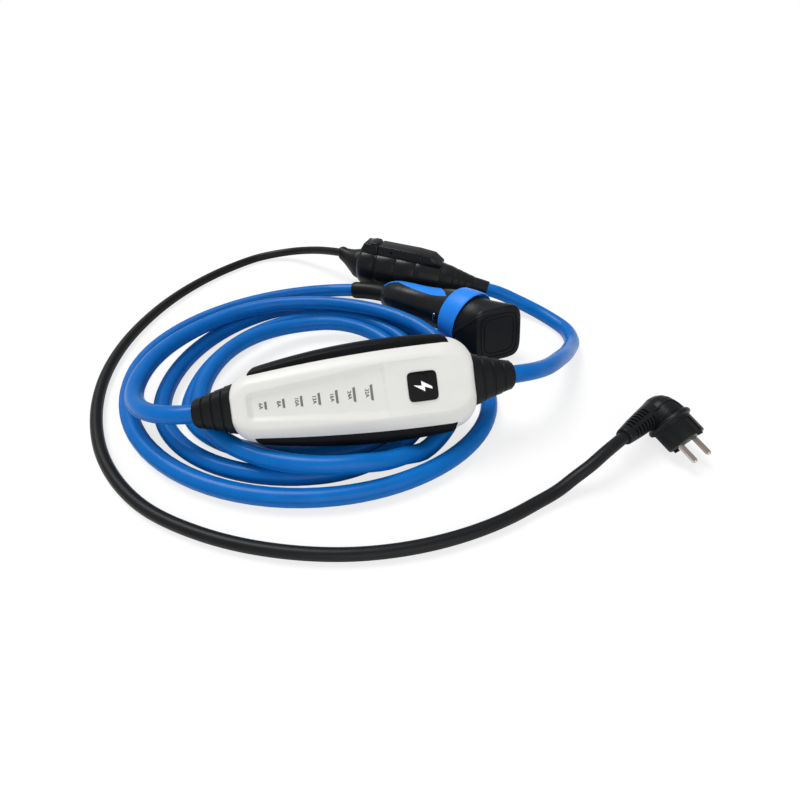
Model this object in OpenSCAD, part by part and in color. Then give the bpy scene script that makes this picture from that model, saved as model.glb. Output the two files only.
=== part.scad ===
// Portable charger for an electric car: a leaning control box, a loosely coiled charge cable with
// its vehicle connector, a link cable, an in-line coupler and a mains lead with an earthed plug.
// Frame: +Z up with the floor at z = 0, +X along the control box towards its wide end,
// origin on the floor below the middle of box, connector and coupler together.
// Each assembly is drawn in its own frame and set down by a place module.

/* [Control box] */
// Length of the housing between its strain reliefs
box_l = 204; // [196:1:222]
// Width across the wide end of the shells
box_w_wide = 79; // [74:1:88]
// Width across the narrow end of the shells
box_w_narrow = 54; // [50:1:60]
// Outward bow of the shells' sides at their middle
shell_bow = 5; // [3:0.2:6]
// Height of the upper shell above the split line
upper_h = 24; // [22:0.5:28]
// Depth of the lower shell below the split line
lower_h = 22; // [20:0.5:26]
// Wall of both shells at the sides
box_wall = 5.5; // [5:0.1:7]
// Thickness of the face and of the floor
roof_t = 4; // [3.5:0.1:5]
// Corner radius at the wide end
corner_wide = 25; // [20:1:30]
// Corner radius at the narrow end
corner_narrow = 20; // [16:1:22]
// Depth of the trough in the face
trough_d = 1.6; // [1:0.1:2]
// Side of the square badge on the face
badge_w = 24.5; // [22:0.5:30]
// Number of current bars on the face
bar_count = 7; // [3:1:8]
// Spacing of the current bars
bar_pitch = 14.1; // [13:0.1:14.5]

/* [Bumpers] */
// Depth of the bumper seats in the shells
bumper_seat = 2.2; // [1.5:0.1:2.6]
// Further bow of each bumper at its middle
bumper_bow = 4.7; // [3:0.1:6]
// How far a bumper stands proud at its ends
bumper_proud = 0.8; // [0.4:0.1:1.5]

/* [Strain reliefs] */
// Length of the supply side relief outside the housing
relief_l = 36; // [28:1:44]
// Length of the charge side relief outside the housing
relief_l_narrow = 31; // [26:1:38]
// Radius at the root of the charge side relief
relief_r_narrow = 20; // [17:0.5:21]
// Radius at the root of the supply side relief
relief_r_wide = 22; // [18:0.5:23]
// Radius at the tip of both reliefs
relief_tip_r = 11.5; // [9.5:0.5:13]

/* [Cables] */
// Diameter of the charge cable and of the link cable
charge_d = 16; // [12:0.5:18]
// Diameter of the mains lead
mains_d = 10.5; // [8:0.5:12]

/* [Vehicle connector] */
// Radius of the collar ring
collar_r = 30; // [28:0.5:32]
// Length of the collar ring
collar_l = 20; // [16:1:24]
// Radius of the contact carrier's nose
nose_r = 23; // [22:0.1:24]
// Length of the nose ahead of the collar
nose_l = 25; // [22:1:27]
// Length of the grip behind the collar
grip_l = 105; // [98:1:114]
// Wall of the grip halves
grip_wall = 3.5; // [3:0.1:4.5]
// Radius of the bent cable sleeve
sleeve_r = 10.5; // [9:0.1:11]
// Half height of the cap's front plate
cap_half = 30; // [28:0.5:31]
// Half width of the cap's front plate
cap_wide = 28; // [27:0.5:30]
// Distance from the collar's front to the middle of the cap's plate
cap_l = 42; // [40:0.5:48]
// Radius of the cap's skirt
cap_skirt_r = 28.5; // [27:0.5:30]

/* [Coupler] */
// Length of the coupler from its left face to the end of its tail
coupler_l = 175; // [150:1:190]
// Length of the plug head
head_l = 28; // [24:1:30]
// Radius of the coupler's body
coupler_r = 26; // [24:0.5:26.5]
// Height of the ridge above the body
ridge_h = 8; // [5:0.5:9]
// Length of the bent gland
gland_l = 32; // [28:1:40]

/* [Mains plug] */
// Radius of the plug's flange
flange_r = 20; // [19:0.5:21.4]
// Radius of the plug's front body
plug_r = 17; // [16.5:0.5:18.5]
// Length of the plug's front body
plug_l = 19; // [18:0.5:26]
// Radius of a mains pin
pin_r = 2.4; // [2.3:0.05:2.5]
// Free length of a mains pin
pin_l = 18; // [17:0.5:20]
// Distance between the pin centres
pin_gap = 19; // [18:0.5:20]
// Length of the boot
boot_l = 54; // [50:1:58]

/* [Fits] */
// Gap round a seated piece
fit_gap = 0.1; // [0.05:0.05:0.3]
// Gap between the cap and the nose
cap_gap = 0.3; // [0.2:0.05:0.6]

/* [Hidden] */
$fn = 48;

// Where each assembly stands: a point, then its lean, its rise and its heading in degrees
box_at = [-26, -142, 51.8];
box_tilt = 50;
box_rise = 1.6;
box_way = 1.3;
nose_at = [96.8, 7.2, 31];
nose_rise = 1;
nose_way = -56;
grip_rise = 7.3;
grip_way = -47;
coupler_at = [0.1, 153.6, 27.1];
coupler_roll = 0;
coupler_rise = -1;
coupler_way = -30;
plug_at = [248.3, -185.5, 21.6];
plug_lean = -2;
plug_rise = -15;
plug_way = -68;

// Turns a point by lean, rise and heading
function turned(p, tilt, rise, way) =
    let (a = [p.x, p.y * cos(tilt) - p.z * sin(tilt), p.y * sin(tilt) + p.z * cos(tilt)])
    let (b = [a.x * cos(rise) - a.z * sin(rise), a.y, a.x * sin(rise) + a.z * cos(rise)])
    [b.x * cos(way) - b.y * sin(way), b.x * sin(way) + b.y * cos(way), b.z];

module on_box() {
    translate(box_at) rotate([box_tilt, -box_rise, box_way]) children();
}

module on_nose() {
    translate(nose_at) rotate([0, -nose_rise, nose_way]) children();
}

module on_grip() {
    translate(nose_at) rotate([0, -grip_rise, grip_way]) children();
}

module on_coupler() {
    translate(coupler_at) rotate([coupler_roll, -coupler_rise, coupler_way]) children();
}

module on_plug() {
    translate(plug_at) rotate([plug_lean, -plug_rise, plug_way]) children();
}

// Turns a profile drawn as [distance along x, radius] about the x axis
module lathe(profile) {
    rotate([90, 0, 90]) rotate_extrude() polygon([for (p = profile) [p[1], p[0]]]);
}

// Round bar along x
module bar(x0, x1, r) {
    translate([x0, 0, 0]) rotate([0, 90, 0]) cylinder(h = x1 - x0, r = r);
}

// Closed skin over rings that run anticlockwise seen from the last ring
module skin(rings) {
    n = len(rings[0]);
    m = len(rings);
    polyhedron(
        points = [for (ring = rings) each ring],
        faces = concat(
            [[for (k = [0:n - 1]) k]],
            [for (i = [0:m - 2], k = [0:n - 1]) [i * n + k, (i + 1) * n + k, (i + 1) * n + (k + 1) % n]],
            [for (i = [0:m - 2], k = [0:n - 1]) [i * n + k, (i + 1) * n + (k + 1) % n, i * n + (k + 1) % n]],
            [[for (k = [n - 1:-1:0]) (m - 1) * n + k]]
        )
    );
}

// Rounded rectangle of two half widths and a corner radius
function rounded(hx, hy, r) = [
    for (q = [0:3], a = [0:18:90])
        [(q == 0 || q == 3 ? 1 : -1) * (hx - r) + r * cos(90 * q + a),
        (q < 2 ? 1 : -1) * (hy - r) + r * sin(90 * q + a)]
];

// Control box: half width of the housing along its length, with a bow for the bumpers
function half_at(x, bow) =
    let (t = x / box_l + 0.5)
    (box_w_narrow + (box_w_wide - box_w_narrow) * t) / 2 + 4 * (shell_bow + bow) * t * (1 - t);

function half_outline(s, pull, inset, bow) =
    let (reach = box_l / 2 - pull - inset)
    let (wx = corner_wide - inset, wy = corner_wide * s - inset)
    let (nx = corner_narrow - inset, ny = corner_narrow * s - inset)
    let (x0 = reach - wx, x1 = nx - reach)
    let (y0 = half_at(x0, bow) * s - inset, y1 = half_at(x1, bow) * s - inset)
    concat(
        [for (a = [0:15:90]) [x0 + wx * cos(a), y0 - wy + wy * sin(a)]],
        [for (k = [1:7]) let (x = x0 + (x1 - x0) * k / 8) [x, half_at(x, bow) * s - inset]],
        [for (a = [90:15:180]) [x1 + nx * cos(a), y1 - ny + ny * sin(a)]]
    );

function outline(s, pull, inset, bow) =
    let (h = half_outline(s, pull, inset, bow))
    concat(h, [for (k = [len(h) - 1:-1:0]) [h[k].x, -h[k].y]]);

// Section of the housing as [share of the height, share of the width, pull-in at the ends]
upper_section = [[0, 1, 0], [0.29, 0.98, 0.3], [0.54, 0.92, 1], [0.75, 0.81, 2.2], [0.9, 0.7, 4],
    [0.97, 0.63, 6], [1, 0.57, 8.5]];
lower_section = [[1, 0.45, 9], [0.86, 0.6, 5], [0.64, 0.76, 2.5], [0.36, 0.9, 1], [0.18, 0.96, 0.4],
    [0, 1, 0]];
upper_levels = [for (l = upper_section) [l[0] * upper_h, l[1], l[2]]];
lower_levels = [for (l = lower_section) [-l[0] * lower_h, l[1], l[2]]];
body_levels = concat(lower_levels, [for (k = [1:len(upper_levels) - 1]) upper_levels[k]]);
upper_in = concat([[-1, 1, 0]], [for (l = upper_section) [l[0] * (upper_h - roof_t), l[1], l[2]]]);
lower_in = concat([for (l = lower_section) [-l[0] * (lower_h - roof_t), l[1], l[2]]], [[1, 1, 0]]);

function rings_of(levels, inset, bow) = [
    for (l = levels) [for (p = outline(l[1], l[2], inset, bow)) [p.x, p.y, l[0]]]
];

boss_places = [[-70, 11], [-70, -11], [62, 17], [62, -17]];
boss_r = 4.2;
screw_r = 1.5;
head_z = 5 - lower_h;
board_z = 9 - lower_h;
board_t = 1.6;
post_places = [[-50, 9], [-50, -9], [46, 13], [46, -13]];
board_x0 = -64;
board_x1 = 72;
board_half_narrow = 13;
board_half_wide = 19;
neck_r = 13;
neck_flange_r = 16;
neck_in = box_l / 2 - 9.5;
neck_seat = 3;
seal_in = 3;
seal_w = 1.6;
trough_x0 = -82;
trough_x1 = 23.5;
trough_half_narrow = 7.4;
trough_half_wide = 16;
trough_bank = 5;
bar_x0 = -72;
badge_x = 54.5;
badge_seat = 0.6;
bumper_top = 17;
bumper_low = -6;

// Trough in the face: a floor, narrow at the left and wide at its step, and sloping banks
function trough_ring(z, bank) = [
    [trough_x0 - bank * 0.7, -trough_half_narrow - bank, z],
    [trough_x1 + bank * 0.4, -trough_half_wide - bank, z],
    [trough_x1 + bank * 0.4, trough_half_wide + bank, z],
    [trough_x0 - bank * 0.7, trough_half_narrow + bank, z]
];

function bar_x(i) = bar_x0 + bar_pitch * i;
bar_half_first = 2.8;
bar_growth = 0.55;
function bar_half(i) = bar_half_first + bar_growth * i;

module bar_plan(i, grow) {
    polygon([
        [bar_x(i) - 1 - grow, -bar_half(i) - grow],
        [bar_x(i) - 1 - grow, bar_half(i) + grow],
        [bar_x(i) + 1.4 + grow, bar_half(i) + 0.6 + grow],
        [bar_x(i) + 1.4 + grow, -bar_half(i) - 0.6 - grow]
    ]);
}

// Side prism that bounds a bumper: long at the face, shorter below, on one side of the box
module bumper_prism(side, grow) {
    reach = box_l / 2;
    translate([0, side > 0 ? 4 : -80, 0]) rotate([90, 0, 0]) mirror([0, 0, 1])
        linear_extrude(height = 76)
            polygon([
                [17 - reach - grow, bumper_top + grow],
                [26 - reach - grow, bumper_low - grow],
                [reach - 28 + grow, bumper_low - grow],
                [reach - 20 + grow, bumper_top + grow]
            ]);
}

module bumper_seats() {
    for (side = [1, -1])
        difference() {
            bumper_prism(side, fit_gap);
            skin(rings_of(body_levels, bumper_seat + fit_gap, 0));
        }
}

module seal_ring(grow) {
    linear_extrude(height = 1.6 + 2 * grow, center = true)
        difference() {
            polygon(outline(1, 0, seal_in - grow, 0));
            polygon(outline(1, 0, seal_in + seal_w + grow, 0));
        }
}

module neck_bores() {
    bar(box_l / 2 - 14, box_l / 2 + 9, neck_r + fit_gap);
    bar(box_l / 2 - neck_seat, box_l / 2 + 9, relief_r_wide + fit_gap);
    bar(-box_l / 2 - 9, 14 - box_l / 2, neck_r + fit_gap);
    bar(neck_in - 4, box_l / 2 - box_wall, neck_flange_r + fit_gap);
    bar(box_wall - box_l / 2, 4 - neck_in, neck_flange_r + fit_gap);
    bar(-box_l / 2 - 9, neck_seat - box_l / 2, relief_r_narrow + fit_gap);
}

module upper_shell() {
    color("whitesmoke") on_box()
        difference() {
            skin(rings_of(upper_levels, 0, 0));
            difference() {
                skin(rings_of(upper_in, box_wall, 0));
                for (p = boss_places) translate([p.x, p.y, -2]) cylinder(h = upper_h, r = boss_r);
            }
            for (p = boss_places) translate([p.x, p.y, -1]) cylinder(h = 13, r = screw_r + 0.02);
            skin([trough_ring(upper_h - trough_d, 0), trough_ring(upper_h, trough_bank),
                trough_ring(upper_h + 2, trough_bank)]);
            for (i = [0:bar_count - 1])
                translate([0, 0, upper_h - trough_d - 0.7]) linear_extrude(height = 4) bar_plan(i, fit_gap);
            translate([badge_x, 0, upper_h - badge_seat]) linear_extrude(height = 4)
                polygon(rounded(badge_w / 2 + fit_gap, badge_w / 2 + fit_gap, 4));
            bumper_seats();
            seal_ring(fit_gap);
            neck_bores();
        }
}

module lower_shell() {
    color("whitesmoke") on_box()
        difference() {
            union() {
                difference() {
                    skin(rings_of(lower_levels, 0, 0));
                    difference() {
                        skin(rings_of(lower_in, box_wall, 0));
                        for (p = boss_places)
                            translate([p.x, p.y, -lower_h]) cylinder(h = lower_h, r = boss_r);
                    }
                }
                for (p = post_places)
                    translate([p.x, p.y, roof_t - lower_h - 1])
                        cylinder(h = board_z - roof_t + lower_h + 1, r = 2.5);
            }
            for (p = boss_places) {
                translate([p.x, p.y, head_z - 12]) cylinder(h = 12, r = 3.1);
                translate([p.x, p.y, head_z - 1]) cylinder(h = lower_h, r = screw_r + 0.2);
            }
            bumper_seats();
            seal_ring(fit_gap);
            neck_bores();
        }
}

module housing_seal() {
    color("dimgray") on_box()
        difference() {
            seal_ring(0);
            neck_bores();
        }
}

module bumper(side) {
    on_box()
        intersection() {
            bumper_prism(side, 0);
            difference() {
                skin(rings_of(body_levels, -bumper_proud, bumper_bow));
                skin(rings_of(body_levels, bumper_seat, 0));
            }
        }
}

module far_bumper() {
    color([0.08, 0.08, 0.09]) bumper(1);
}

module near_bumper() {
    color([0.08, 0.08, 0.09]) bumper(-1);
}

module indicator_bars() {
    color("dimgray") on_box()
        for (i = [0:bar_count - 1])
            translate([0, 0, upper_h - trough_d - 0.7]) linear_extrude(height = 1) bar_plan(i, 0);
}

module face_badge() {
    color([0.05, 0.05, 0.06]) on_box()
        translate([badge_x, 0, upper_h - badge_seat])
            linear_extrude(height = 1) polygon(rounded(badge_w / 2, badge_w / 2, 4));
}

module housing_screws() {
    color("silver") on_box()
        for (p = boss_places)
            translate([p.x, p.y, head_z]) {
                translate([0, 0, -2.4])
                    difference() {
                        cylinder(h = 2.4, r = 2.9);
                        translate([0, 0, -1]) cylinder(h = 2.2, r = 1.4, $fn = 6);
                    }
                cylinder(h = 11 - head_z, r = screw_r);
            }
}

module circuit_board() {
    color("darkgreen") on_box()
        translate([0, 0, board_z])
            difference() {
                linear_extrude(height = board_t)
                    polygon([[board_x0, -board_half_narrow], [board_x1, -board_half_wide],
                        [board_x1, board_half_wide], [board_x0, board_half_narrow]]);
                for (p = boss_places)
                    translate([p.x, p.y, -1]) cylinder(h = 4, r = boss_r + 0.5);
            }
}

module on_board() {
    on_box() translate([0, 0, board_z + board_t]) children();
}

module relays() {
    color("gray") on_board()
        for (y = [-13, 1]) translate([-36, y, 0]) cube([28, 12, 15]);
}

module capacitors() {
    color("steelblue") on_board()
        for (x = [4, 17, 30]) translate([x, 0, 0]) cylinder(h = 20, r = 6);
}

sensor_r = -(board_z + board_t);
sensor_x = 61;
sensor_l = 8;

module current_sensor() {
    color("goldenrod") on_box()
        difference() {
            bar(sensor_x, sensor_x + sensor_l, sensor_r);
            bar(sensor_x - 1, sensor_x + sensor_l + 1, 7.2);
        }
}

block_x_wide = 58;
block_x_narrow = -62;

module terminal_blocks() {
    color("olivedrab") on_board() {
        translate([block_x_wide - 12, -11, 0]) cube([12, 22, 18]);
        translate([block_x_narrow, -11, 0]) cube([12, 22, 18]);
    }
}

module cores(x0, x1) {
    for (k = [0:4]) rotate([72 * k, 0, 0]) translate([0, 0, 4.6]) bar(x0, x1, 1.9);
}

module charge_cores() {
    color("peru") on_box() cores(-neck_in, block_x_narrow);
}

module supply_cores() {
    color("peru") on_box() cores(block_x_wide, neck_in);
}

// Strain relief profile from its inner flange to its tip, in four steps
function relief_profile(base_r, length) =
    let (x0 = box_l / 2 - neck_seat, x1 = box_l / 2 + length)
    let (wall_in = box_l / 2 - box_wall - fit_gap)
    let (fall = (base_r - relief_tip_r) / 4)
    let (run = (length + neck_seat) / 4)
    concat(
        [[neck_in, 0], [neck_in, neck_flange_r], [wall_in, neck_flange_r], [wall_in, neck_r], [x0, neck_r]],
        [for (k = [0:3]) each [[x0 + run * k, base_r - fall * k],
            [x0 + run * k + run * 0.7, base_r - fall * (k + 0.45)],
            [x0 + run * k + run * 0.75, base_r - fall * (k + 0.45) - 1.4]]],
        [[x1 - 0.8, relief_tip_r - 0.6], [x1, relief_tip_r - 1.2], [x1, 0]]
    );

module charge_relief() {
    color([0.07, 0.07, 0.08]) on_box() rotate([0, 180, 0])
        lathe(relief_profile(relief_r_narrow, relief_l_narrow));
}

module supply_relief() {
    color([0.07, 0.07, 0.08]) on_box() lathe(relief_profile(relief_r_wide, relief_l));
}

// Vehicle connector: radius of the grip along its axis, from the rear end to the collar
grip_profile = [[-grip_l, 12.5], [2.5 - grip_l, 15.4], [8 - grip_l, 17.8], [20 - grip_l, 19.6],
    [34 - grip_l, 20.2], [60 - grip_l, 20.6], [77 - grip_l, 22], [90 - grip_l, 24], [14, 26.5]];
grip_bore_r = 6;
grip_back = 8;
carrier_r = 26;
spigot_r = 18;
spigot_l = 10;
sleeve_bend = 110;
sleeve_arc = 26;
grip_screw_x = [25 - grip_l, 66 - grip_l];

module grip_solid(inset) {
    n = len(grip_profile);
    lathe(concat([[grip_profile[0][0], 0]], [for (p = grip_profile) [p[0], p[1] - inset]],
        [[grip_profile[n - 1][0], 0]]));
}

module grip_cavity() {
    difference() {
        grip_solid(grip_wall);
        bar(-grip_l - 1, grip_back - grip_l, 40);
        for (x = grip_screw_x) translate([x, 0, -40]) cylinder(h = 80, r = 4);
    }
}

module ahead_of_collar() {
    on_nose() translate([0, -60, -60]) cube([60, 120, 120]);
}

// Leaf on the grip's crown, seen from above
module leaf(grow) {
    rotate([4, 0, 0]) translate([57 - grip_l, 0, 0]) linear_extrude(height = 40)
        intersection() {
            translate([0, -46]) circle(r = 57 + grow);
            translate([0, 46]) circle(r = 57 + grow);
        }
}

module leaf_skin(low, high, grow) {
    intersection() {
        difference() {
            grip_solid(-high);
            grip_solid(low);
        }
        leaf(grow);
    }
}

module grip_half(side) {
    difference() {
        on_grip()
            difference() {
                intersection() {
                    grip_solid(0);
                    translate([-150, -50, side > 0 ? 0 : -60]) cube([200, 100, 60]);
                }
                grip_cavity();
                bar(-grip_l - 1, grip_back + 1 - grip_l, grip_bore_r);
            }
        ahead_of_collar();
        on_nose() bar(-spigot_l - 1, 1, spigot_r + fit_gap);
    }
}

module grip_upper() {
    color([0.1, 0.1, 0.11])
        difference() {
            grip_half(1);
            on_grip() {
                leaf_skin(0.8 + fit_gap, 3, fit_gap);
                for (x = grip_screw_x) translate([x, 0, -1]) cylinder(h = 11, r = screw_r + 0.02);
            }
        }
}

module grip_lower() {
    color([0.1, 0.1, 0.11])
        difference() {
            grip_half(-1);
            on_grip()
                for (x = grip_screw_x) {
                    translate([x, 0, -40]) cylinder(h = 28, r = 3.1);
                    translate([x, 0, -20]) cylinder(h = 21, r = screw_r + 0.2);
                }
        }
}

module grip_inlay() {
    color([0.15, 0.5, 0.85]) on_grip() leaf_skin(0.8, 0.4, 0);
}

module grip_screws() {
    color("silver") on_grip()
        for (x = grip_screw_x)
            translate([x, 0, -12]) {
                translate([0, 0, -2.4]) cylinder(h = 2.4, r = 2.9);
                cylinder(h = 21, r = screw_r);
            }
}

module grip_cores() {
    color("peru") on_grip()
        for (k = [0:4]) rotate([72 * k, 0, 0]) translate([0, 0, 4])
            translate([0, 0, 0]) bar(-grip_l, grip_back - grip_l, 1.8);
}

// Bent rubber sleeve that turns the cable into the grip
module cable_sleeve() {
    color([0.08, 0.08, 0.09]) on_grip()
        translate([-grip_l, -sleeve_bend, 0]) rotate([0, 0, 90]) rotate_extrude(angle = sleeve_arc)
            translate([sleeve_bend, 0]) circle(r = sleeve_r);
}

module collar_ring() {
    color([0.15, 0.5, 0.85]) on_nose()
        lathe([[0, carrier_r + fit_gap], [0, collar_r - 1.2], [1.2, collar_r], [collar_l - 1.5, collar_r],
            [collar_l, collar_r - 1.5], [collar_l, carrier_r + fit_gap]]);
}

// Contact places on the carrier as [y, z]
power_places = [[0, 1.5], [-13.5, 1.5], [13.5, 1.5], [-7.5, -11], [7.5, -11]];
signal_places = [[-7, 12.5], [7, 12.5]];
power_r = 3.2;
signal_r = 2.2;

module contact_carrier() {
    color([0.06, 0.06, 0.07]) on_nose()
        difference() {
            union() {
                bar(-spigot_l, 0.5, spigot_r);
                bar(0, collar_l, carrier_r);
                difference() {
                    bar(collar_l - 0.5, collar_l + nose_l, nose_r);
                    translate([collar_l, -30, nose_r - 4.5]) cube([60, 60, 20]);
                }
            }
            for (p = power_places)
                translate([0, p[0], p[1]]) bar(-spigot_l - 1, collar_l + nose_l + 1, power_r + fit_gap);
            for (p = signal_places)
                translate([0, p[0], p[1]]) bar(-spigot_l - 1, collar_l + nose_l + 1, signal_r + fit_gap);
        }
}

module contact_sleeve(place, r) {
    translate([0, place[0], place[1]])
        difference() {
            bar(-spigot_l, collar_l + nose_l - 4, r);
            bar(collar_l, collar_l + nose_l, r - 0.8);
        }
}

module power_contacts() {
    color("goldenrod") on_nose() for (p = power_places) contact_sleeve(p, power_r);
}

module signal_contacts() {
    color("goldenrod") on_nose() for (p = signal_places) contact_sleeve(p, signal_r);
}

// Push-on cap: round skirt against the collar, swelling into a slanted plate with rounded corners
cap_yaw = -22;
cap_pitch = 13;
cap_corner = 12;
cap_skirt_l = 13;

module cap_plate(grow, x0, x1) {
    translate([cap_l, 0, 0]) rotate([0, -cap_pitch, cap_yaw]) translate([x0, 0, 0]) rotate([90, 0, 90])
        linear_extrude(height = x1 - x0)
            polygon(rounded(cap_wide + grow, cap_half + grow, cap_corner + grow));
}

module cap_line(inset) {
    difference() {
        cap_plate(-inset, -0.8, 1);
        cap_plate(-inset - 1.5, -2, 2);
    }
}

module protective_cap() {
    color([0.06, 0.06, 0.07]) on_nose() translate([collar_l, 0, 0])
        difference() {
            union() {
                bar(cap_gap, cap_skirt_l, cap_skirt_r);
                hull() {
                    bar(cap_skirt_l - 1, cap_skirt_l, cap_skirt_r);
                    cap_plate(0, -4, -2.5);
                }
                hull() {
                    cap_plate(0, -4, -2.5);
                    cap_plate(-2.5, -0.5, 0);
                }
            }
            bar(-1, nose_l + cap_gap, nose_r + cap_gap);
            cap_line(6);
            cap_line(10);
        }
}

// Coupler: plug head at the left, socket body with a ridge, ribbed tail at the right
socket_end = 115;
ridge_seat = coupler_r - 6;
ridge_shoulder = ridge_seat + 3.5;
ridge_top = coupler_r + ridge_h;
ridge_half = 12.8;
ridge_top_half = 9.8;
ridge_lean = atan2(ridge_top - ridge_shoulder, ridge_half - ridge_top_half);
ridge_x0 = 4;
ridge_chamfer = 5;
seam_gap = 27;
latch_gap = 0.15;
pin_ring_r = 9;
coupler_pin_r = 2.5;
spigot_coupler_r = 17;
spigot_coupler_l = 12;
latch_x0 = head_l + 2.6;
latch_x1 = head_l + 2 * seam_gap - 1;
latch_end_run = 11.5;
latch_run = socket_end - 2.5 - latch_end_run - latch_x1;
tool_hole = [latch_x0 + 16.5, -(ridge_half + ridge_top_half) / 2, (ridge_shoulder + ridge_top) / 2];

// Ridge section at x: flat top, sloping sides and a seat in the body
function ridge_ring(x, fall, pinch, grow) =
    let (w = ridge_half - pinch + grow, v = ridge_top_half - pinch / 4 + grow, top = ridge_top - fall + grow)
    [for (p = [[-w, ridge_seat - grow], [w, ridge_seat - grow], [w, ridge_shoulder], [v, top], [-v, top],
        [-w, ridge_shoulder]]) [x, p[0], p[1]]];

module latch_solid(grow) {
    skin([ridge_ring(latch_x0 - grow, 0, 0, grow), ridge_ring(latch_x1, 0, 0, grow),
        ridge_ring(latch_x1 + latch_run, 1.5, 1.5, grow),
        ridge_ring(latch_x1 + latch_run + latch_end_run + grow, ridge_h + 1, 3.5, grow)]);
}

module pin_row(x0, x1, r) {
    for (k = [0:4]) rotate([72 * k, 0, 0]) translate([0, 0, -pin_ring_r]) bar(x0, x1, r);
}

module coupler_head() {
    color([0.08, 0.08, 0.09]) on_coupler()
        difference() {
            union() {
                lathe([[0, 0], [0, coupler_r - 5], [4, coupler_r - 1], [8, coupler_r],
                    [head_l - 3, coupler_r],
                    [head_l - 2.4, coupler_r - 0.6], [head_l, coupler_r - 0.6], [head_l, spigot_coupler_r],
                    [head_l + spigot_coupler_l, spigot_coupler_r], [head_l + spigot_coupler_l, 0]]);
                skin([ridge_ring(ridge_x0, ridge_h, 1, 0), ridge_ring(ridge_x0 + ridge_chamfer, 0, 0, 0),
                    ridge_ring(head_l, 0, 0, 0)]);
                translate([0, ridge_top_half - 1, 0]) rotate([90, 0, 0])
                    linear_extrude(height = 2 * ridge_top_half - 2)
                        polygon([[ridge_x0 + ridge_chamfer + 1, ridge_top - 1],
                            [head_l - 0.5, ridge_top - 1],
                            [head_l - 1.5, ridge_top + 2], [head_l - 8, ridge_top + 2]]);
            }
            pin_row(head_l - 16, head_l + 20, coupler_pin_r + fit_gap);
        }
}

// Fine joint line round the socket at x
function seam(x, r) = [[x - 0.6, r], [x, r - 0.6], [x + 0.8, r - 0.6], [x + 1.4, r]];

module coupler_socket() {
    color([0.08, 0.08, 0.09]) on_coupler()
        difference() {
            lathe(concat(
                [[head_l + 0.4, 0], [head_l + 0.4, coupler_r - 0.6], [head_l + 1, coupler_r]],
                seam(head_l + seam_gap, coupler_r),
                seam(head_l + 2 * seam_gap, coupler_r - 0.4),
                [[100, coupler_r - 2.5], [socket_end, coupler_r - 4.5], [socket_end, 0]]
            ));
            latch_solid(latch_gap);
            bar(head_l, head_l + spigot_coupler_l + 1, spigot_coupler_r + 0.2);
            difference() {
                bar(head_l, head_l + 2, 22);
                bar(head_l - 1, head_l + 3, 19);
            }
            pin_row(head_l + 2, head_l + 37, coupler_pin_r + 0.2);
        }
}

module coupler_seal() {
    color("dimgray") on_coupler()
        difference() {
            bar(head_l, head_l + 2, 22 - fit_gap);
            bar(head_l - 1, head_l + 3, 19 + fit_gap);
        }
}

module coupler_pins() {
    color("goldenrod") on_coupler() pin_row(head_l - 16, head_l + 35, coupler_pin_r);
}

// Ridge piece of the lock, with the hole for a release tool in its sloping side
module coupler_latch() {
    color([0.1, 0.1, 0.11]) on_coupler()
        difference() {
            latch_solid(0);
            translate(tool_hole)
                rotate([ridge_lean, 0, 0]) translate([0, 0, -3]) cylinder(h = 6, r = 1.7);
        }
}

// Tail that thins to the link cable, with fine rings
tail_ring_r = 0.7;

module coupler_tail() {
    color([0.08, 0.08, 0.09]) on_coupler()
        lathe(concat(
            [[socket_end + 0.05, 0], [socket_end + 0.05, coupler_r - 5], [socket_end + 9, coupler_r - 6]],
            [for (k = [0:3]) let (x = socket_end + 16 + 8 * k, r = 18 - 1.9 * k)
                each [[x, r], [x + 0.4, r - tail_ring_r], [x + 1.4, r - tail_ring_r], [x + 1.8, r - 0.3]]],
            [[coupler_l - 2, 10.2], [coupler_l, 9.2], [coupler_l, 0]]
        ));
}

// Sweep of round rings along a path: each ring stands square to the path
function unit(v) = v / norm(v);
function heading(path, i, first, last) =
    i == 0 ? first : (i == len(path) - 1 ? last : unit(path[i + 1] - path[i - 1]));
function ring_at(p, t, r, sides) =
    let (s = unit(cross([0, 0, 1], t)))
    let (u = cross(t, s))
    [for (k = [0:sides - 1]) p + r * (cos(360 * k / sides) * s + sin(360 * k / sides) * u)];

module tube(path, r, sides, first, last) {
    skin([for (i = [0:len(path) - 1]) ring_at(path[i], heading(path, i, first, last), r, sides)]);
}

// Flexible gland: its axis bends away from the coupler as it thins
gland_bend = 12;
gland_rise = 0.27;
gland_radii = [20.8, 18.2, 14.6, 11.5, 9.4, 8.3];
gland_base = coupler_at;
function gland_way(t) = coupler_way + 180 - gland_bend * t;
function gland_step(k) =
    let (s = gland_l / 5, t = (k + 0.5) / 5)
    [s * cos(gland_way(t)), s * sin(gland_way(t)), s * gland_rise];
function gland_point(k) = k == 0 ? gland_base : gland_point(k - 1) + gland_step(k - 1);
gland_tip = gland_point(5);
gland_out = unit([cos(gland_way(1)), sin(gland_way(1)), -0.15]);

module coupler_gland() {
    back = turned([-1, 0, 0], coupler_roll, coupler_rise, coupler_way);
    path = [for (k = [0:5]) gland_point(k)];
    color([0.07, 0.07, 0.08])
        skin([for (k = [0:5]) ring_at(path[k], heading(path, k, back, gland_out), gland_radii[k], 24)]);
}

// Mains plug: front body with pins along x, boot along -y behind the flange
boot_x = -17;
boot_yaw = 9;
root_r = pin_r - 0.3;

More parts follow.
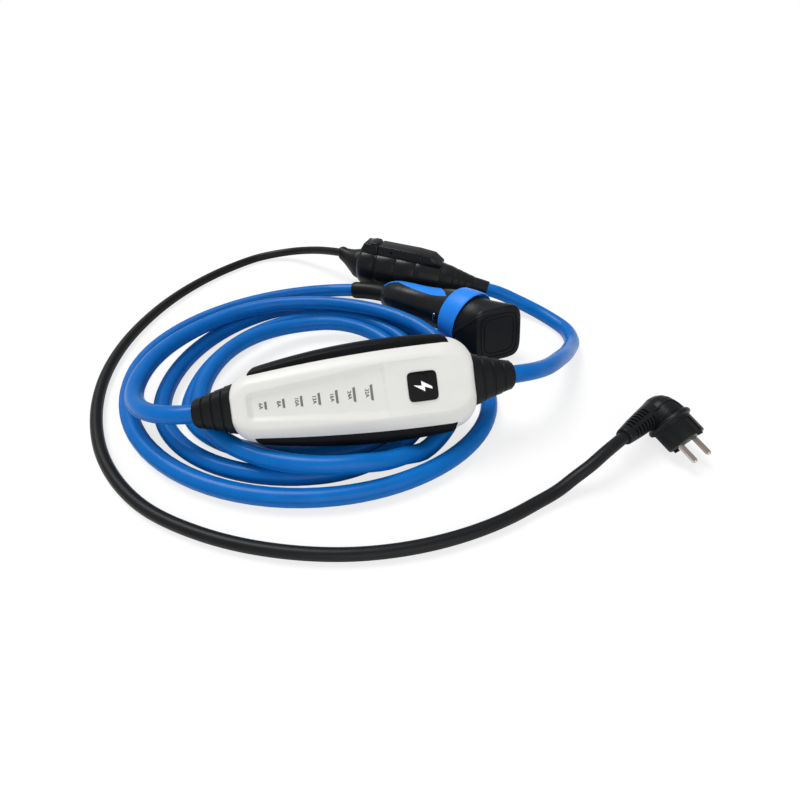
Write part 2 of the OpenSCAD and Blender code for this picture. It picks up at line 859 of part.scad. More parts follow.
module plug_body() {
    color([0.07, 0.07, 0.08]) on_plug()
        difference() {
            union() {
                bar(-4, 0, flange_r);
                bar(-1, plug_l, plug_r);
                lathe([[-29, 0], [-29, 6], [-26, 11], [-19, 15.5], [-9, 17.2], [-3, 18.2], [-3, 0]]);
                translate([boot_x, 0, 0]) rotate([0, 0, boot_yaw - 90]) lathe(concat(
                    [[0, 0], [0, 11.2], [14, 11]],
                    [for (k = [0:5]) each [[16 + 5 * k, 10.8 - 0.5 * k], [18 + 5 * k, 10.6 - 0.5 * k],
                        [18.2 + 5 * k, 9.4 - 0.45 * k], [20 + 5 * k, 9.3 - 0.45 * k]]],
                    [[boot_l - 4, 7.8], [boot_l, 7.2], [boot_l, 0]]
                ));
            }
            for (y = [-pin_gap / 2, pin_gap / 2])
                translate([0, y, 0]) bar(6, plug_l + 1, root_r + 0.02);
            for (side = [0, 180])
                rotate([side, 0, 0]) translate([3, -3, plug_r - 2.2]) cube([plug_l, 6, 6]);
        }
}

module plug_pins() {
    color("silver") on_plug()
        for (y = [-pin_gap / 2, pin_gap / 2])
            translate([0, y, 0])
                lathe([[6, 0], [6, root_r], [plug_l, root_r], [plug_l, pin_r], [plug_l + pin_l - 1.5, pin_r],
                    [plug_l + pin_l, pin_r - 1.2], [plug_l + pin_l, 0]]);
}

module earth_clips() {
    color("silver") on_plug()
        for (side = [0, 180])
            rotate([side, 0, 0]) translate([3, -2.8, plug_r - 2.2]) cube([plug_l - 1, 5.6, 1.2]);
}

// Charge cable: the loop's outermost points in turn, left, top, right and bottom of each turn,
// as [x, y, fullness of the quarter that ends there]
coil_keys = [
    [-229.2, -73.8, 2], [-95.2, 64.2, 2], [76.8, -78.8, 2], [-33.2, -195.8, 2],
    [-170.2, -85.8, 2], [-59.2, 29.2, 2], [32.8, -68.8, 2], [-47.2, -167.8, 2],
    [-185.2, -81.8, 2], [-59.2, 57.2, 2], [50.8, -76.8, 2], [-61.2, -189.8, 2],
    [-213.2, -65.8, 2], [-63.2, 86.2, 2], [104.8, -101.8, 1.5], [-48.2, -213.3, 2],
    [-251.7, -31.8, 2], [-53.2, 120.2, 2]
];
// Height of the cable's centre as [quarter number, height]: the first turn rides over the others
coil_lift = [
    [0, 48.1], [1, 31], [1.6, 25], [2, 24.5], [2.72, 24.5], [3.3, 8], [3.6, 8], [3.78, 19], [4, 24.5],
    [4.4, 24.5], [4.62, 23.6], [4.8, 24.4], [5.3, 24.4], [6, 16], [7, 8], [18, 8]
];
coil_steps = 6;
relief_tip = box_at + turned([-box_l / 2 - relief_l_narrow, 0, 0], box_tilt, box_rise, box_way);
relief_out = turned([-1, 0, 0], box_tilt, box_rise, box_way);
sleeve_tip = nose_at + turned(
    [-grip_l - sleeve_bend * sin(sleeve_arc), -sleeve_bend * (1 - cos(sleeve_arc)), 0],
    0, grip_rise, grip_way);
sleeve_in = turned([cos(sleeve_arc), sin(sleeve_arc), 0], 0, grip_rise, grip_way);

function smooth(t) = t * t * (3 - 2 * t);
function lift_at(s, k = 0) =
    k >= len(coil_lift) - 1 ? coil_lift[k][1]
    : s > coil_lift[k + 1][0] ? lift_at(s, k + 1)
    : let (a = coil_lift[k], b = coil_lift[k + 1])
        a[1] + (b[1] - a[1]) * smooth((s - a[0]) / (b[0] - a[0]));

function corner_of(q) = q == 0 ? relief_tip : coil_keys[q - 1];

// Point on quarter q: even quarters set out along x, odd ones along y
function quarter(q, t) =
    let (a = corner_of(q), b = coil_keys[q], e = 2 / b[2])
    let (c = pow(cos(90 * t), e), s = pow(sin(90 * t), e))
    let (x = q % 2 == 0 ? a.x + (b.x - a.x) * s : b.x + (a.x - b.x) * c)
    let (y = q % 2 == 0 ? b.y + (a.y - b.y) * c : a.y + (b.y - a.y) * s)
    [x, y, lift_at(q + t)];

charge_path = concat(
    [relief_tip],
    [for (q = [0:len(coil_keys) - 1], k = [1:coil_steps]) quarter(q, k / coil_steps)],
    [sleeve_tip]
);

module charge_cable() {
    color([0.08, 0.43, 0.78]) tube(charge_path, charge_d / 2, 12, relief_out, sleeve_in);
}

// Link cable from the supply relief round to the coupler's tail
supply_tip = box_at + turned([box_l / 2 + relief_l, 0, 0], box_tilt, box_rise, box_way);
supply_out = turned([1, 0, 0], box_tilt, box_rise, box_way);
tail_tip = coupler_at + turned([coupler_l, 0, 0], coupler_roll, coupler_rise, coupler_way);
tail_in = turned([-1, 0, 0], coupler_roll, coupler_rise, coupler_way);
link_path = concat(
    [supply_tip],
    [[146.8, -124.8, 47.5], [178.8, -95.8, 35], [201.8, -67.8, 22], [220.8, -37.8, 12], [225.8, -9.8, 8],
        [214.8, 19.2, 8], [190.8, 46.2, 13]],
    [tail_tip]
);

module link_cable() {
    color([0.08, 0.43, 0.78]) tube(link_path, charge_d / 2, 12, supply_out, tail_in);
}

// Mains lead from the gland round the coil to the plug's boot
boot_out = [sin(boot_yaw), -cos(boot_yaw), 0];
boot_tip = plug_at + turned([boot_x, 0, 0] + boot_l * boot_out, plug_lean, plug_rise, plug_way);
boot_in = turned(-boot_out, plug_lean, plug_rise, plug_way);
mains_path = concat(
    [gland_tip],
    [[-68.2, 216.2, 22], [-109.2, 242.2, 9.5], [-146.9, 239.7, 5.3], [-185.2, 211.7, 5.3],
        [-220.2, 174.2, 5.3], [-248.2, 131.2, 5.3], [-268.2, 84.2, 5.3], [-281.2, 30.2, 5.3],
        [-283.2, -28.8, 5.3], [-271.2, -90.8, 5.3], [-243.2, -151.8, 5.3], [-202.2, -199.8, 5.3],
        [-150.2, -232.8, 5.3], [-91.2, -254.8, 5.3], [-33.2, -264.8, 5.3], [26.8, -262.8, 5.3],
        [84.8, -248.8, 5.3], [106.8, -240, 5.3],
        [130.7, -230.6, 7.8], [145, -224.2, 12.5], [158.2, -219.2, 18.5], [174.5, -210.7, 23.8]],
    [boot_tip]
);

module mains_cable() {
    color([0.06, 0.06, 0.07]) tube(mains_path, mains_d / 2, 10, gland_out, boot_in);
}

upper_shell();
lower_shell();
housing_seal();
far_bumper();
near_bumper();
indicator_bars();
face_badge();
housing_screws();
circuit_board();
relays();
capacitors();
current_sensor();
terminal_blocks();
charge_cores();
supply_cores();
charge_relief();
supply_relief();
charge_cable();
link_cable();
mains_cable();
cable_sleeve();
grip_upper();
grip_lower();
grip_inlay();
grip_screws();
grip_cores();
collar_ring();
contact_carrier();
power_contacts();
signal_contacts();
protective_cap();
coupler_gland();
coupler_head();
coupler_seal();
coupler_pins();
coupler_socket();
coupler_latch();
coupler_tail();
plug_body();
plug_pins();
earth_clips();
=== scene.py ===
"""Looks of a portable car charger: control box, coiled charge cable, connector, coupler and mains plug.

Sizes are in millimetres in each assembly's own frame, as in the CAD model, and go to metres when placed.
"""

import logging
import math
from collections.abc import Callable, Sequence
from dataclasses import dataclass, field
from enum import Enum

import bmesh
import bpy
import numpy as np
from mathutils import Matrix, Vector


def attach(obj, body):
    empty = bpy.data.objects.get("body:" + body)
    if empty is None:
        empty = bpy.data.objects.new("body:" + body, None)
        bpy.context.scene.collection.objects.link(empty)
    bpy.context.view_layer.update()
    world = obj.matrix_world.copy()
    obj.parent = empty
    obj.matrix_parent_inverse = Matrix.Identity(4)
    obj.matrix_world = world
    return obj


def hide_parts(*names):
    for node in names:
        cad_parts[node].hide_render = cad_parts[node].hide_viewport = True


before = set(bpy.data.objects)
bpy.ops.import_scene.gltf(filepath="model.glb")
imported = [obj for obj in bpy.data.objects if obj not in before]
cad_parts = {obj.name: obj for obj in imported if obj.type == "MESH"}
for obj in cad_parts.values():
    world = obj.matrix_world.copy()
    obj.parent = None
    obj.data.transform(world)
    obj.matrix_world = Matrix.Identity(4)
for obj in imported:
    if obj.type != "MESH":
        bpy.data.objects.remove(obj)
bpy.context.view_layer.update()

LOG = logging.getLogger("charger")
MM = 0.001
UP = np.array([0.0, 0.0, 1.0])
Points = np.ndarray
Faces = list[tuple[int, ...]]


class Body(Enum):
    """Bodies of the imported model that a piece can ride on."""

    CHARGER = "charger"
    CAP = "cap"


class Grain(Enum):
    """Surface textures of the finishes."""

    MOULDED = "moulded"
    RUBBER = "rubber"
    JACKET = "jacket"
    DRAWN = "drawn"


class FarEnd(Enum):
    """What a cable ends in."""

    CONNECTOR = "connector"
    OBJECT = "object"
    PLUG = "plug"


class Stiffness(Enum):
    """How readily a cable bends."""

    STIFF = "stiff"
    MEDIUM = "medium"


class Lay(Enum):
    """How a cable lies."""

    COILED = "coiled"
    LOOSE = "loose"


# Shading

EVEN = (1.0, 1.0, 1.0)


class Wire:
    """A shader socket that adds nodes when it is used in an expression."""

    def __init__(self, graph: "Graph", socket: bpy.types.NodeSocket) -> None:
        """Keeps the socket and the graph that it belongs to."""
        self.graph = graph
        self.socket = socket

    def _maths(self, operation: str, first: object, second: object) -> "Wire":
        """Adds one Math node.

        Args:
            operation: the Math node's operation.
            first: a wire or a number.
            second: a wire or a number.

        Returns:
            The node's result.
        """
        return self.graph.node("ShaderNodeMath", {"operation": operation}, {0: first, 1: second})

    def __add__(self, other: object) -> "Wire":
        """Sum."""
        return self._maths("ADD", self, other)

    __radd__ = __add__

    def __mul__(self, other: object) -> "Wire":
        """Product."""
        return self._maths("MULTIPLY", self, other)

    __rmul__ = __mul__

    def __sub__(self, other: object) -> "Wire":
        """Difference."""
        return self._maths("SUBTRACT", self, other)

    def __rsub__(self, other: object) -> "Wire":
        """Difference with the wire on the right."""
        return self._maths("SUBTRACT", other, self)


class Graph:
    """Node tree of one material."""

    def __init__(self, name: str) -> None:
        """Makes an empty material with an output."""
        self.material = bpy.data.materials.new(name)
        self.material.use_nodes = True
        self.tree = self.material.node_tree
        self.tree.nodes.clear()
        self.output = self.tree.nodes.new("ShaderNodeOutputMaterial")

    def node(
        self, kind: str, settings: dict | None = None, inputs: dict | None = None, output: int | str = 0
    ) -> Wire:
        """Adds a node of any type.

        Args:
            kind: the node's type.
            settings: its properties, with "stops" for a ramp's (position, colour) pairs.
            inputs: values or wires by socket name or number.
            output: name or number of the output to return.

        Returns:
            The chosen output.
        """
        made = self.tree.nodes.new(kind)
        for key, value in (settings or {}).items():
            if key == "stops":
                self._set_stops(made.color_ramp, value)
            else:
                setattr(made, key, value)
        for key, value in (inputs or {}).items():
            self.feed(made.inputs[key], value)
        return Wire(self, made.outputs[output])

    @staticmethod
    def _set_stops(ramp: bpy.types.ColorRamp, stops: list[tuple[float, tuple]]) -> None:
        """Replaces a ramp's stops.

        Args:
            ramp: the ramp.
            stops: pairs of position and colour.
        """
        while len(ramp.elements) > len(stops):
            ramp.elements.remove(ramp.elements[-1])
        while len(ramp.elements) < len(stops):
            ramp.elements.new(1.0)
        for element, (position, colour) in zip(ramp.elements, stops):
            element.position = position
            element.color = colour

    def feed(self, socket: bpy.types.NodeSocket, value: object) -> None:
        """Links a wire to a socket, or sets the socket's own value.

        Args:
            socket: the socket.
            value: a wire, or a plain value of the socket's kind.
        """
        if isinstance(value, Wire):
            self.tree.links.new(value.socket, socket)
        else:
            socket.default_value = value

    def finish(self, surface: Wire) -> bpy.types.Material:
        """Puts a shader on the output and returns the material."""
        self.feed(self.output.inputs["Surface"], surface)
        return self.material

    def place(self, scale: tuple[float, float, float]) -> Wire:
        """Object coordinates, stretched by a scale."""
        place = self.node("ShaderNodeTexCoord", output="Object")
        return self.node("ShaderNodeMapping", inputs={"Vector": place, "Scale": scale})

    def noise(self, scale: float, detail: float, stretch: tuple[float, float, float] = EVEN) -> Wire:
        """Noise over the surface, from 0 to 1.

        Args:
            scale: cells per metre.
            detail: octaves.
            stretch: scale of each axis.

        Returns:
            The noise value.
        """
        return self.node(
            "ShaderNodeTexNoise", inputs={"Vector": self.place(stretch), "Scale": scale, "Detail": detail}
        )


PATCHES_PER_M = 55.0
SCUFFS_PER_M = 260.0
ALONG_DRAW = (1.0, 1.0, 0.08)


@dataclass(frozen=True)
class Finish:
    """A moulded, extruded or plated surface.

    The colour varies a little in broad patches, the roughness in smaller ones, and a fine grain feeds the
    bump.
    """

    name: str
    slot: str
    colour: tuple[float, float, float]
    roughness: float
    grain: Grain = Grain.MOULDED
    grain_mm: float = 0.5
    bump: float = 0.15
    mottle: float = 0.12
    metallic: float = 0.0
    coat: float = 0.0
    specular: float = 0.5

    def material(self) -> bpy.types.Material:
        """Makes the material once and returns it."""
        made = bpy.data.materials.get("look_" + self.name)
        return made if made else self._make()

    def _make(self) -> bpy.types.Material:
        """Builds the node tree.

        Returns:
            The material.
        """
        graph = Graph("look_" + self.name)
        patches = graph.noise(PATCHES_PER_M, 4.0)
        cells = 1.0 / (self.grain_mm * MM)
        grain = graph.noise(cells, 2.0, ALONG_DRAW if self.grain is Grain.DRAWN else EVEN)
        if self.grain is Grain.MOULDED:
            cell = {"Vector": graph.place(EVEN), "Scale": cells * 0.8}
            pits = graph.node("ShaderNodeTexVoronoi", inputs=cell, output="Distance")
            grain = grain * 0.6 + pits * 0.4
        scuffs = graph.node(
            "ShaderNodeValToRGB",
            {"stops": [(0.55, (0, 0, 0, 1)), (0.8, (1, 1, 1, 1))]},
            {"Fac": graph.noise(SCUFFS_PER_M, 6.0)},
        )
        low = tuple(c * (1.0 - self.mottle) for c in self.colour) + (1.0,)
        high = tuple(min(1.0, c * (1.0 + self.mottle) + 0.012 * self.mottle) for c in self.colour) + (1.0,)
        colour = graph.node(
            "ShaderNodeValToRGB", {"stops": [(0.3, low), (0.7, high)]}, {"Fac": patches * 0.75 + grain * 0.25}
        )
        rough = patches * 0.08 + scuffs * 0.07 + (self.roughness - 0.07)
        relief = {"Height": grain, "Strength": self.bump, "Distance": self.grain_mm * MM * 0.3}
        normal = graph.node("ShaderNodeBump", inputs=relief)
        return graph.finish(
            graph.node(
                "ShaderNodeBsdfPrincipled",
                inputs={
                    "Base Color": colour,
                    "Roughness": rough,
                    "Metallic": self.metallic,
                    "Coat Weight": self.coat,
                    "Specular IOR Level": self.specular,
                    "Normal": normal,
                },
            )
        )


SHELL_WHITE = Finish(
    "shell_white", "shell_white", (0.62, 0.617, 0.593), 0.42, bump=0.05, mottle=0.02, specular=0.3
)
BUMPER_RUBBER = Finish(
    "bumper_rubber", "bumper_rubber", (0.004, 0.0045, 0.0054), 0.42, Grain.RUBBER, 0.35, 0.1, specular=0.05
)
RELIEF_RUBBER = Finish(
    "relief_rubber", "relief_rubber", (0.005, 0.0058, 0.0066), 0.42, Grain.RUBBER, 0.4, 0.15, specular=0.14
)
BLACK_PLASTIC = Finish(
    "black_plastic", "black_plastic", (0.0045, 0.0052, 0.0064), 0.3, bump=0.12, specular=0.25
)
BADGE_GLOSS = Finish(
    "badge_gloss", "badge_gloss", (0.003, 0.003, 0.0035), 0.2, bump=0.01, coat=0.02, specular=0.06
)
BAR_GREY = Finish("bar_grey", "bar_grey", (0.10, 0.10, 0.10), 0.34, bump=0.05)
PRINT_GREY = Finish("print_grey", "bar_grey", (0.02, 0.02, 0.022), 0.6, bump=0.05)
PRINT_WHITE = Finish("print_white", "shell_white", (0.85, 0.85, 0.84), 0.5, bump=0.03, mottle=0.02)
CABLE_BLUE = Finish(
    "cable_blue", "cable_blue", (0.0004, 0.112, 0.40), 0.32, Grain.JACKET, 0.7, 0.08, 0.08, specular=0.14
)
BLUE_PLASTIC = Finish(
    "blue_plastic", "blue_plastic", (0.012, 0.2, 0.72), 0.42, bump=0.08, mottle=0.05, specular=0.15
)
MAINS_BLACK = Finish(
    "mains_black", "mains_black", (0.006, 0.0065, 0.0075), 0.44, Grain.JACKET, 0.6, 0.1, specular=0.15
)
NICKEL = Finish("nickel", "steel", (0.5, 0.45, 0.39), 0.22, Grain.DRAWN, 0.25, 0.08, 0.06, 1.0)
DULL_NICKEL = Finish(
    "dull_nickel", "steel", (0.035, 0.035, 0.034), 0.5, Grain.DRAWN, 0.25, 0.08, 0.06, 1.0
)
BRASS = Finish("silvered_brass", "contact_brass", (0.72, 0.62, 0.42), 0.3, Grain.DRAWN, 0.25, 0.08, 0.08, 1.0)
BOARD_GREEN = Finish("board_green", "board_green", (0.02, 0.13, 0.06), 0.35, bump=0.1)
COMPONENT_GREY = Finish("component_grey", "component_grey", (0.2, 0.21, 0.23), 0.5)
CORE_BROWN = Finish("core_insulation", "core_insulation", (0.35, 0.2, 0.1), 0.45)
SEAL_GREY = Finish("seal_rubber", "seal_rubber", (0.05, 0.05, 0.052), 0.6, Grain.RUBBER)


# Shapes


@dataclass(frozen=True)
class Place:
    """Where an assembly's own frame stands: a point, then lean, rise and heading in degrees."""

    at: tuple[float, float, float]
    lean: float = 0.0
    rise: float = 0.0
    way: float = 0.0

    def matrix(self) -> Points:
        """Rotation of the assembly.

        Returns:
            A matrix of three rows.
        """
        lean, rise, way = (math.radians(a) for a in (self.lean, self.rise, self.way))
        cl, sl = math.cos(lean), math.sin(lean)
        cr, sr = math.cos(rise), math.sin(rise)
        cw, sw = math.cos(way), math.sin(way)
        about_x = np.array([[1, 0, 0], [0, cl, -sl], [0, sl, cl]])
        about_y = np.array([[cr, 0, -sr], [0, 1, 0], [sr, 0, cr]])
        about_z = np.array([[cw, -sw, 0], [sw, cw, 0], [0, 0, 1]])
        return about_z @ about_y @ about_x

    def point(self, local: tuple[float, float, float]) -> Points:
        """A local point in the shared frame, in millimetres."""
        return self.matrix() @ np.asarray(local, float) + np.asarray(self.at)

    def heading(self, local: tuple[float, float, float]) -> Points:
        """A local direction in the shared frame."""
        return self.matrix() @ np.asarray(local, float)

    def world(self, points: Points) -> Points:
        """Local points in the shared frame, in metres."""
        return (np.asarray(points, float) @ self.matrix().T + np.asarray(self.at)) * MM


FLOOR = Place((0.0, 0.0, 0.0))


def unit(v: Points) -> Points:
    """A vector of length one."""
    return v / np.linalg.norm(v)


def round_ring(sides: int, square: float = 2.0) -> Points:
    """Unit ring in two dimensions.

    Args:
        sides: points round the ring.
        square: 2 for a circle, more for a boxier ring.

    Returns:
        The ring's points, anticlockwise.
    """
    angle = np.arange(sides) * 2.0 * math.pi / sides
    c, s = np.cos(angle), np.sin(angle)
    reach = (np.abs(c) ** square + np.abs(s) ** square) ** (-1.0 / square)
    return np.stack([c * reach, s * reach], axis=1)


def ring_at(centre: Points, along: Points, radius: float, sides: int) -> Points:
    """Round ring that stands square to a direction.

    Args:
        centre: middle of the ring.
        along: direction of the path.
        radius: half width.
        sides: points round the ring.

    Returns:
        The ring's points, anticlockwise seen from ahead.
    """
    side = unit(np.cross(UP, along))
    top = np.cross(along, side)
    flat = round_ring(sides) * radius
    return np.asarray(centre) + flat[:, :1] * side + flat[:, 1:] * top


def lathe_rings(profile: Sequence[tuple[float, float]], sides: int, square: float = 2.0) -> list[Points]:
    """Rings along x from pairs of distance and radius."""
    flat = round_ring(sides, square)
    return [np.column_stack([np.full(sides, x), flat[:, 0] * r, flat[:, 1] * r]) for x, r in profile]


def loft(rings: list[Points], caps: tuple[bool, bool] = (True, True)) -> tuple[Points, Faces]:
    """Skin over rings of equal length.

    Args:
        rings: the rings in order.
        caps: whether the first and last rings are closed.

    Returns:
        Points and faces.
    """
    n = len(rings[0])
    m = len(rings)
    faces: Faces = [
        (i * n + k, i * n + (k + 1) % n, (i + 1) * n + (k + 1) % n, (i + 1) * n + k)
        for i in range(m - 1)
        for k in range(n)
    ]
    if caps[0]:
        faces.append(tuple(range(n - 1, -1, -1)))
    if caps[1]:
        faces.append(tuple(range((m - 1) * n, m * n)))
    return np.concatenate(rings), faces


def smooth_path(points: Points, first: Points, last: Points, per: int) -> Points:
    """Smooth curve through points, with set directions at its ends.

    Args:
        points: the points in order.
        first: direction at the first point.
        last: direction at the last point.
        per: steps between neighbours.

    Returns:
        The curve's points.
    """
    pts = np.asarray(points, float)
    slopes = np.empty_like(pts)
    gaps = np.linalg.norm(np.diff(pts, axis=0), axis=1)
    for i in range(1, len(pts) - 1):
        before, after = gaps[i - 1], gaps[i]
        ahead = (pts[i + 1] - pts[i]) / after
        behind = (pts[i] - pts[i - 1]) / before
        slopes[i] = (ahead * before + behind * after) / (before + after)
    slopes[0], slopes[-1] = unit(np.asarray(first, float)), unit(np.asarray(last, float))
    out = [pts[0]]
    for i, gap in enumerate(gaps):
        for t in (np.arange(per) + 1.0) / per:
            a, b = 2 * t**3 - 3 * t**2 + 1, t**3 - 2 * t**2 + t
            c, d = -2 * t**3 + 3 * t**2, t**3 - t**2
            out.append(a * pts[i] + b * gap * slopes[i] + c * pts[i + 1] + d * gap * slopes[i + 1])
    return np.array(out)


def sweep(path: Points, radii: Points, sides: int, ends: tuple[Points, Points]) -> list[Points]:
    """Rings along a path, with set directions at its ends.

    Args:
        path: the path's points.
        radii: a radius for each point.
        sides: points round each ring.
        ends: direction of the path at its first and last point.

    Returns:
        The rings in order.
    """
    ahead = np.empty_like(path)
    ahead[1:-1] = path[2:] - path[:-2]
    ahead[0], ahead[-1] = ends
    return [ring_at(p, unit(d), r, sides) for p, d, r in zip(path, ahead, radii)]


def curve_through(points: Sequence[tuple[float, ...]], per: int) -> Points:
    """Rounds a list of stations, such as a section or a profile, by a smooth curve."""
    pts = np.asarray(points, float)
    return smooth_path(pts, pts[1] - pts[0], pts[-1] - pts[-2], per)


def grid_faces(rows: int, columns: int, first: int = 0) -> Faces:
    """Faces of a sheet of points.

    Args:
        rows: number of rows.
        columns: points in each row.
        first: index of the sheet's first point.

    Returns:
        One face for each cell.
    """
    starts = [first + i * columns + k for i in range(rows - 1) for k in range(columns - 1)]
    return [(a, a + 1, a + columns + 1, a + columns) for a in starts]


def rim_faces(rows: int, columns: int) -> Faces:
    """Faces that join the edges of two equal sheets, the second of which follows the first.

    Args:
        rows: number of rows in a sheet.
        columns: points in each row.

    Returns:
        A closed band of faces.
    """
    count = rows * columns
    rim = list(range(columns)) + [i * columns + columns - 1 for i in range(1, rows)]
    rim += [(rows - 1) * columns + k for k in range(columns - 2, -1, -1)]
    rim += [i * columns for i in range(rows - 2, 0, -1)]
    return [(a, b, b + count, a + count) for a, b in zip(rim, rim[1:] + rim[:1])]


def new_object(name: str, points: Points, faces: Faces) -> bpy.types.Object:
    """Mesh object at the origin with outward faces.

    Args:
        name: the object's name.
        points: places in metres.
        faces: indices of each face's points.

    Returns:
        The object, linked to the scene.
    """
    mesh = bpy.data.meshes.new(name)
    mesh.from_pydata([tuple(p) for p in points], [], faces)
    work = bmesh.new()
    work.from_mesh(mesh)
    bmesh.ops.remove_doubles(work, verts=work.verts, dist=1e-6)
    bmesh.ops.recalc_face_normals(work, faces=work.faces)
    work.to_mesh(mesh)
    work.free()
    made = bpy.data.objects.new(name, mesh)
    bpy.context.scene.collection.objects.link(made)
    return made


def baked(source: bpy.types.Object, name: str) -> bpy.types.Object:
    """Turns an object with modifiers into a plain mesh object.

    Args:
        source: the object, which is used up.
        name: name of the result.

    Returns:
        The plain object.
    """
    graph = bpy.context.evaluated_depsgraph_get()
    mesh = bpy.data.meshes.new_from_object(source.evaluated_get(graph))
    bpy.data.objects.remove(source)
    made = bpy.data.objects.new(name, mesh)
    bpy.context.scene.collection.objects.link(made)
    return made


def move_points(piece: bpy.types.Object, change: Callable[[Points], Points]) -> None:
    """Moves a mesh's points.

    Args:
        piece: a mesh object.
        change: gives the new places from the old ones.
    """
    flat = np.empty(len(piece.data.vertices) * 3)
    piece.data.vertices.foreach_get("co", flat)
    piece.data.vertices.foreach_set("co", change(flat.reshape(-1, 3)).ravel())
    piece.data.update()


def cut(target: bpy.types.Object, cutter: bpy.types.Object) -> bpy.types.Object:
    """Takes one mesh out of another.

    Args:
        target: the mesh that is cut, which is used up.
        cutter: the mesh that is taken out, which is used up.

    Returns:
        The cut object, under the target's name.
    """
    modifier = target.modifiers.new("cut", "BOOLEAN")
    modifier.operation = "DIFFERENCE"
    modifier.solver = "EXACT"
    modifier.object = cutter
    name = target.name
    target.name = name + "_raw"
    made = baked(target, name)
    bpy.data.objects.remove(cutter)
    return made


def fuse(parts: list[bpy.types.Object], name: str, voxel: float, rounds: int) -> bpy.types.Object:
    """Melts overlapping meshes into one soft form.

    Args:
        parts: closed meshes, which are used up.
        name: name of the result.
        voxel: cell size in metres.
        rounds: smoothing rounds.

    Returns:
        The melted object.
    """
    work = bmesh.new()
    for part in parts:
        work.from_mesh(part.data)
        bpy.data.objects.remove(part)
    mesh = bpy.data.meshes.new(name)
    work.to_mesh(mesh)
    work.free()
    raw = bpy.data.objects.new(name + "_raw", mesh)
    bpy.context.scene.collection.objects.link(raw)
    melt = raw.modifiers.new("melt", "REMESH")
    melt.mode = "VOXEL"
    melt.voxel_size = voxel
    relax = raw.modifiers.new("relax", "SMOOTH")
    relax.factor = 0.5
    relax.iterations = rounds
    return baked(raw, name)


@dataclass
class Workshop:
    """Dresses pieces, sets them on their bodies and keeps count."""

    made: dict[str, bpy.types.Object] = field(default_factory=dict)

    def settle(
        self,
        piece: bpy.types.Object,
        finish: Finish,
        stands_for: tuple[str, ...] = (),
        body: Body = Body.CHARGER,
        crease: float = 32.0,
    ) -> bpy.types.Object:
        """Gives a piece its finish, its body and the nodes that it replaces.

        Args:
            piece: a mesh object at the origin.
            finish: its material.
            stands_for: CAD nodes that it replaces.
            body: the body that it rides on.
            crease: angle in degrees past which an edge stays sharp.

        Returns:
            The same piece.
        """
        piece.data.materials.clear()
        piece.data.materials.append(finish.material())
        piece.data.shade_smooth()
        piece.data.set_sharp_from_angle(angle=math.radians(crease))
        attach(piece, body.value)
        if stands_for:
            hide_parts(*stands_for)
        self.made[piece.name] = piece
        LOG.info("%s: %d faces", piece.name, len(piece.data.polygons))
        return piece

    def skin(
        self,
        name: str,
        place: Place,
        rings: list[Points],
        finish: Finish,
        stands_for: tuple[str, ...] = (),
        body: Body = Body.CHARGER,
        crease: float = 32.0,
    ) -> bpy.types.Object:
        """Lofts rings into a settled piece.

        Args:
            name: the piece's name.
            place: the assembly's place.
            rings: rings in the assembly's frame.
            finish: the piece's material.
            stands_for: CAD nodes that it replaces.
            body: the body that it rides on.
            crease: angle past which an edge stays sharp.

        Returns:
            The piece.
        """
        points, faces = loft(rings)
        return self.settle(new_object(name, place.world(points), faces), finish, stands_for, body, crease)

    @staticmethod
    def dress(node: str, finish: Finish) -> None:
        """Gives a CAD node that stays a procedural material."""
        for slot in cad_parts[node].material_slots:
            slot.material = finish.material()


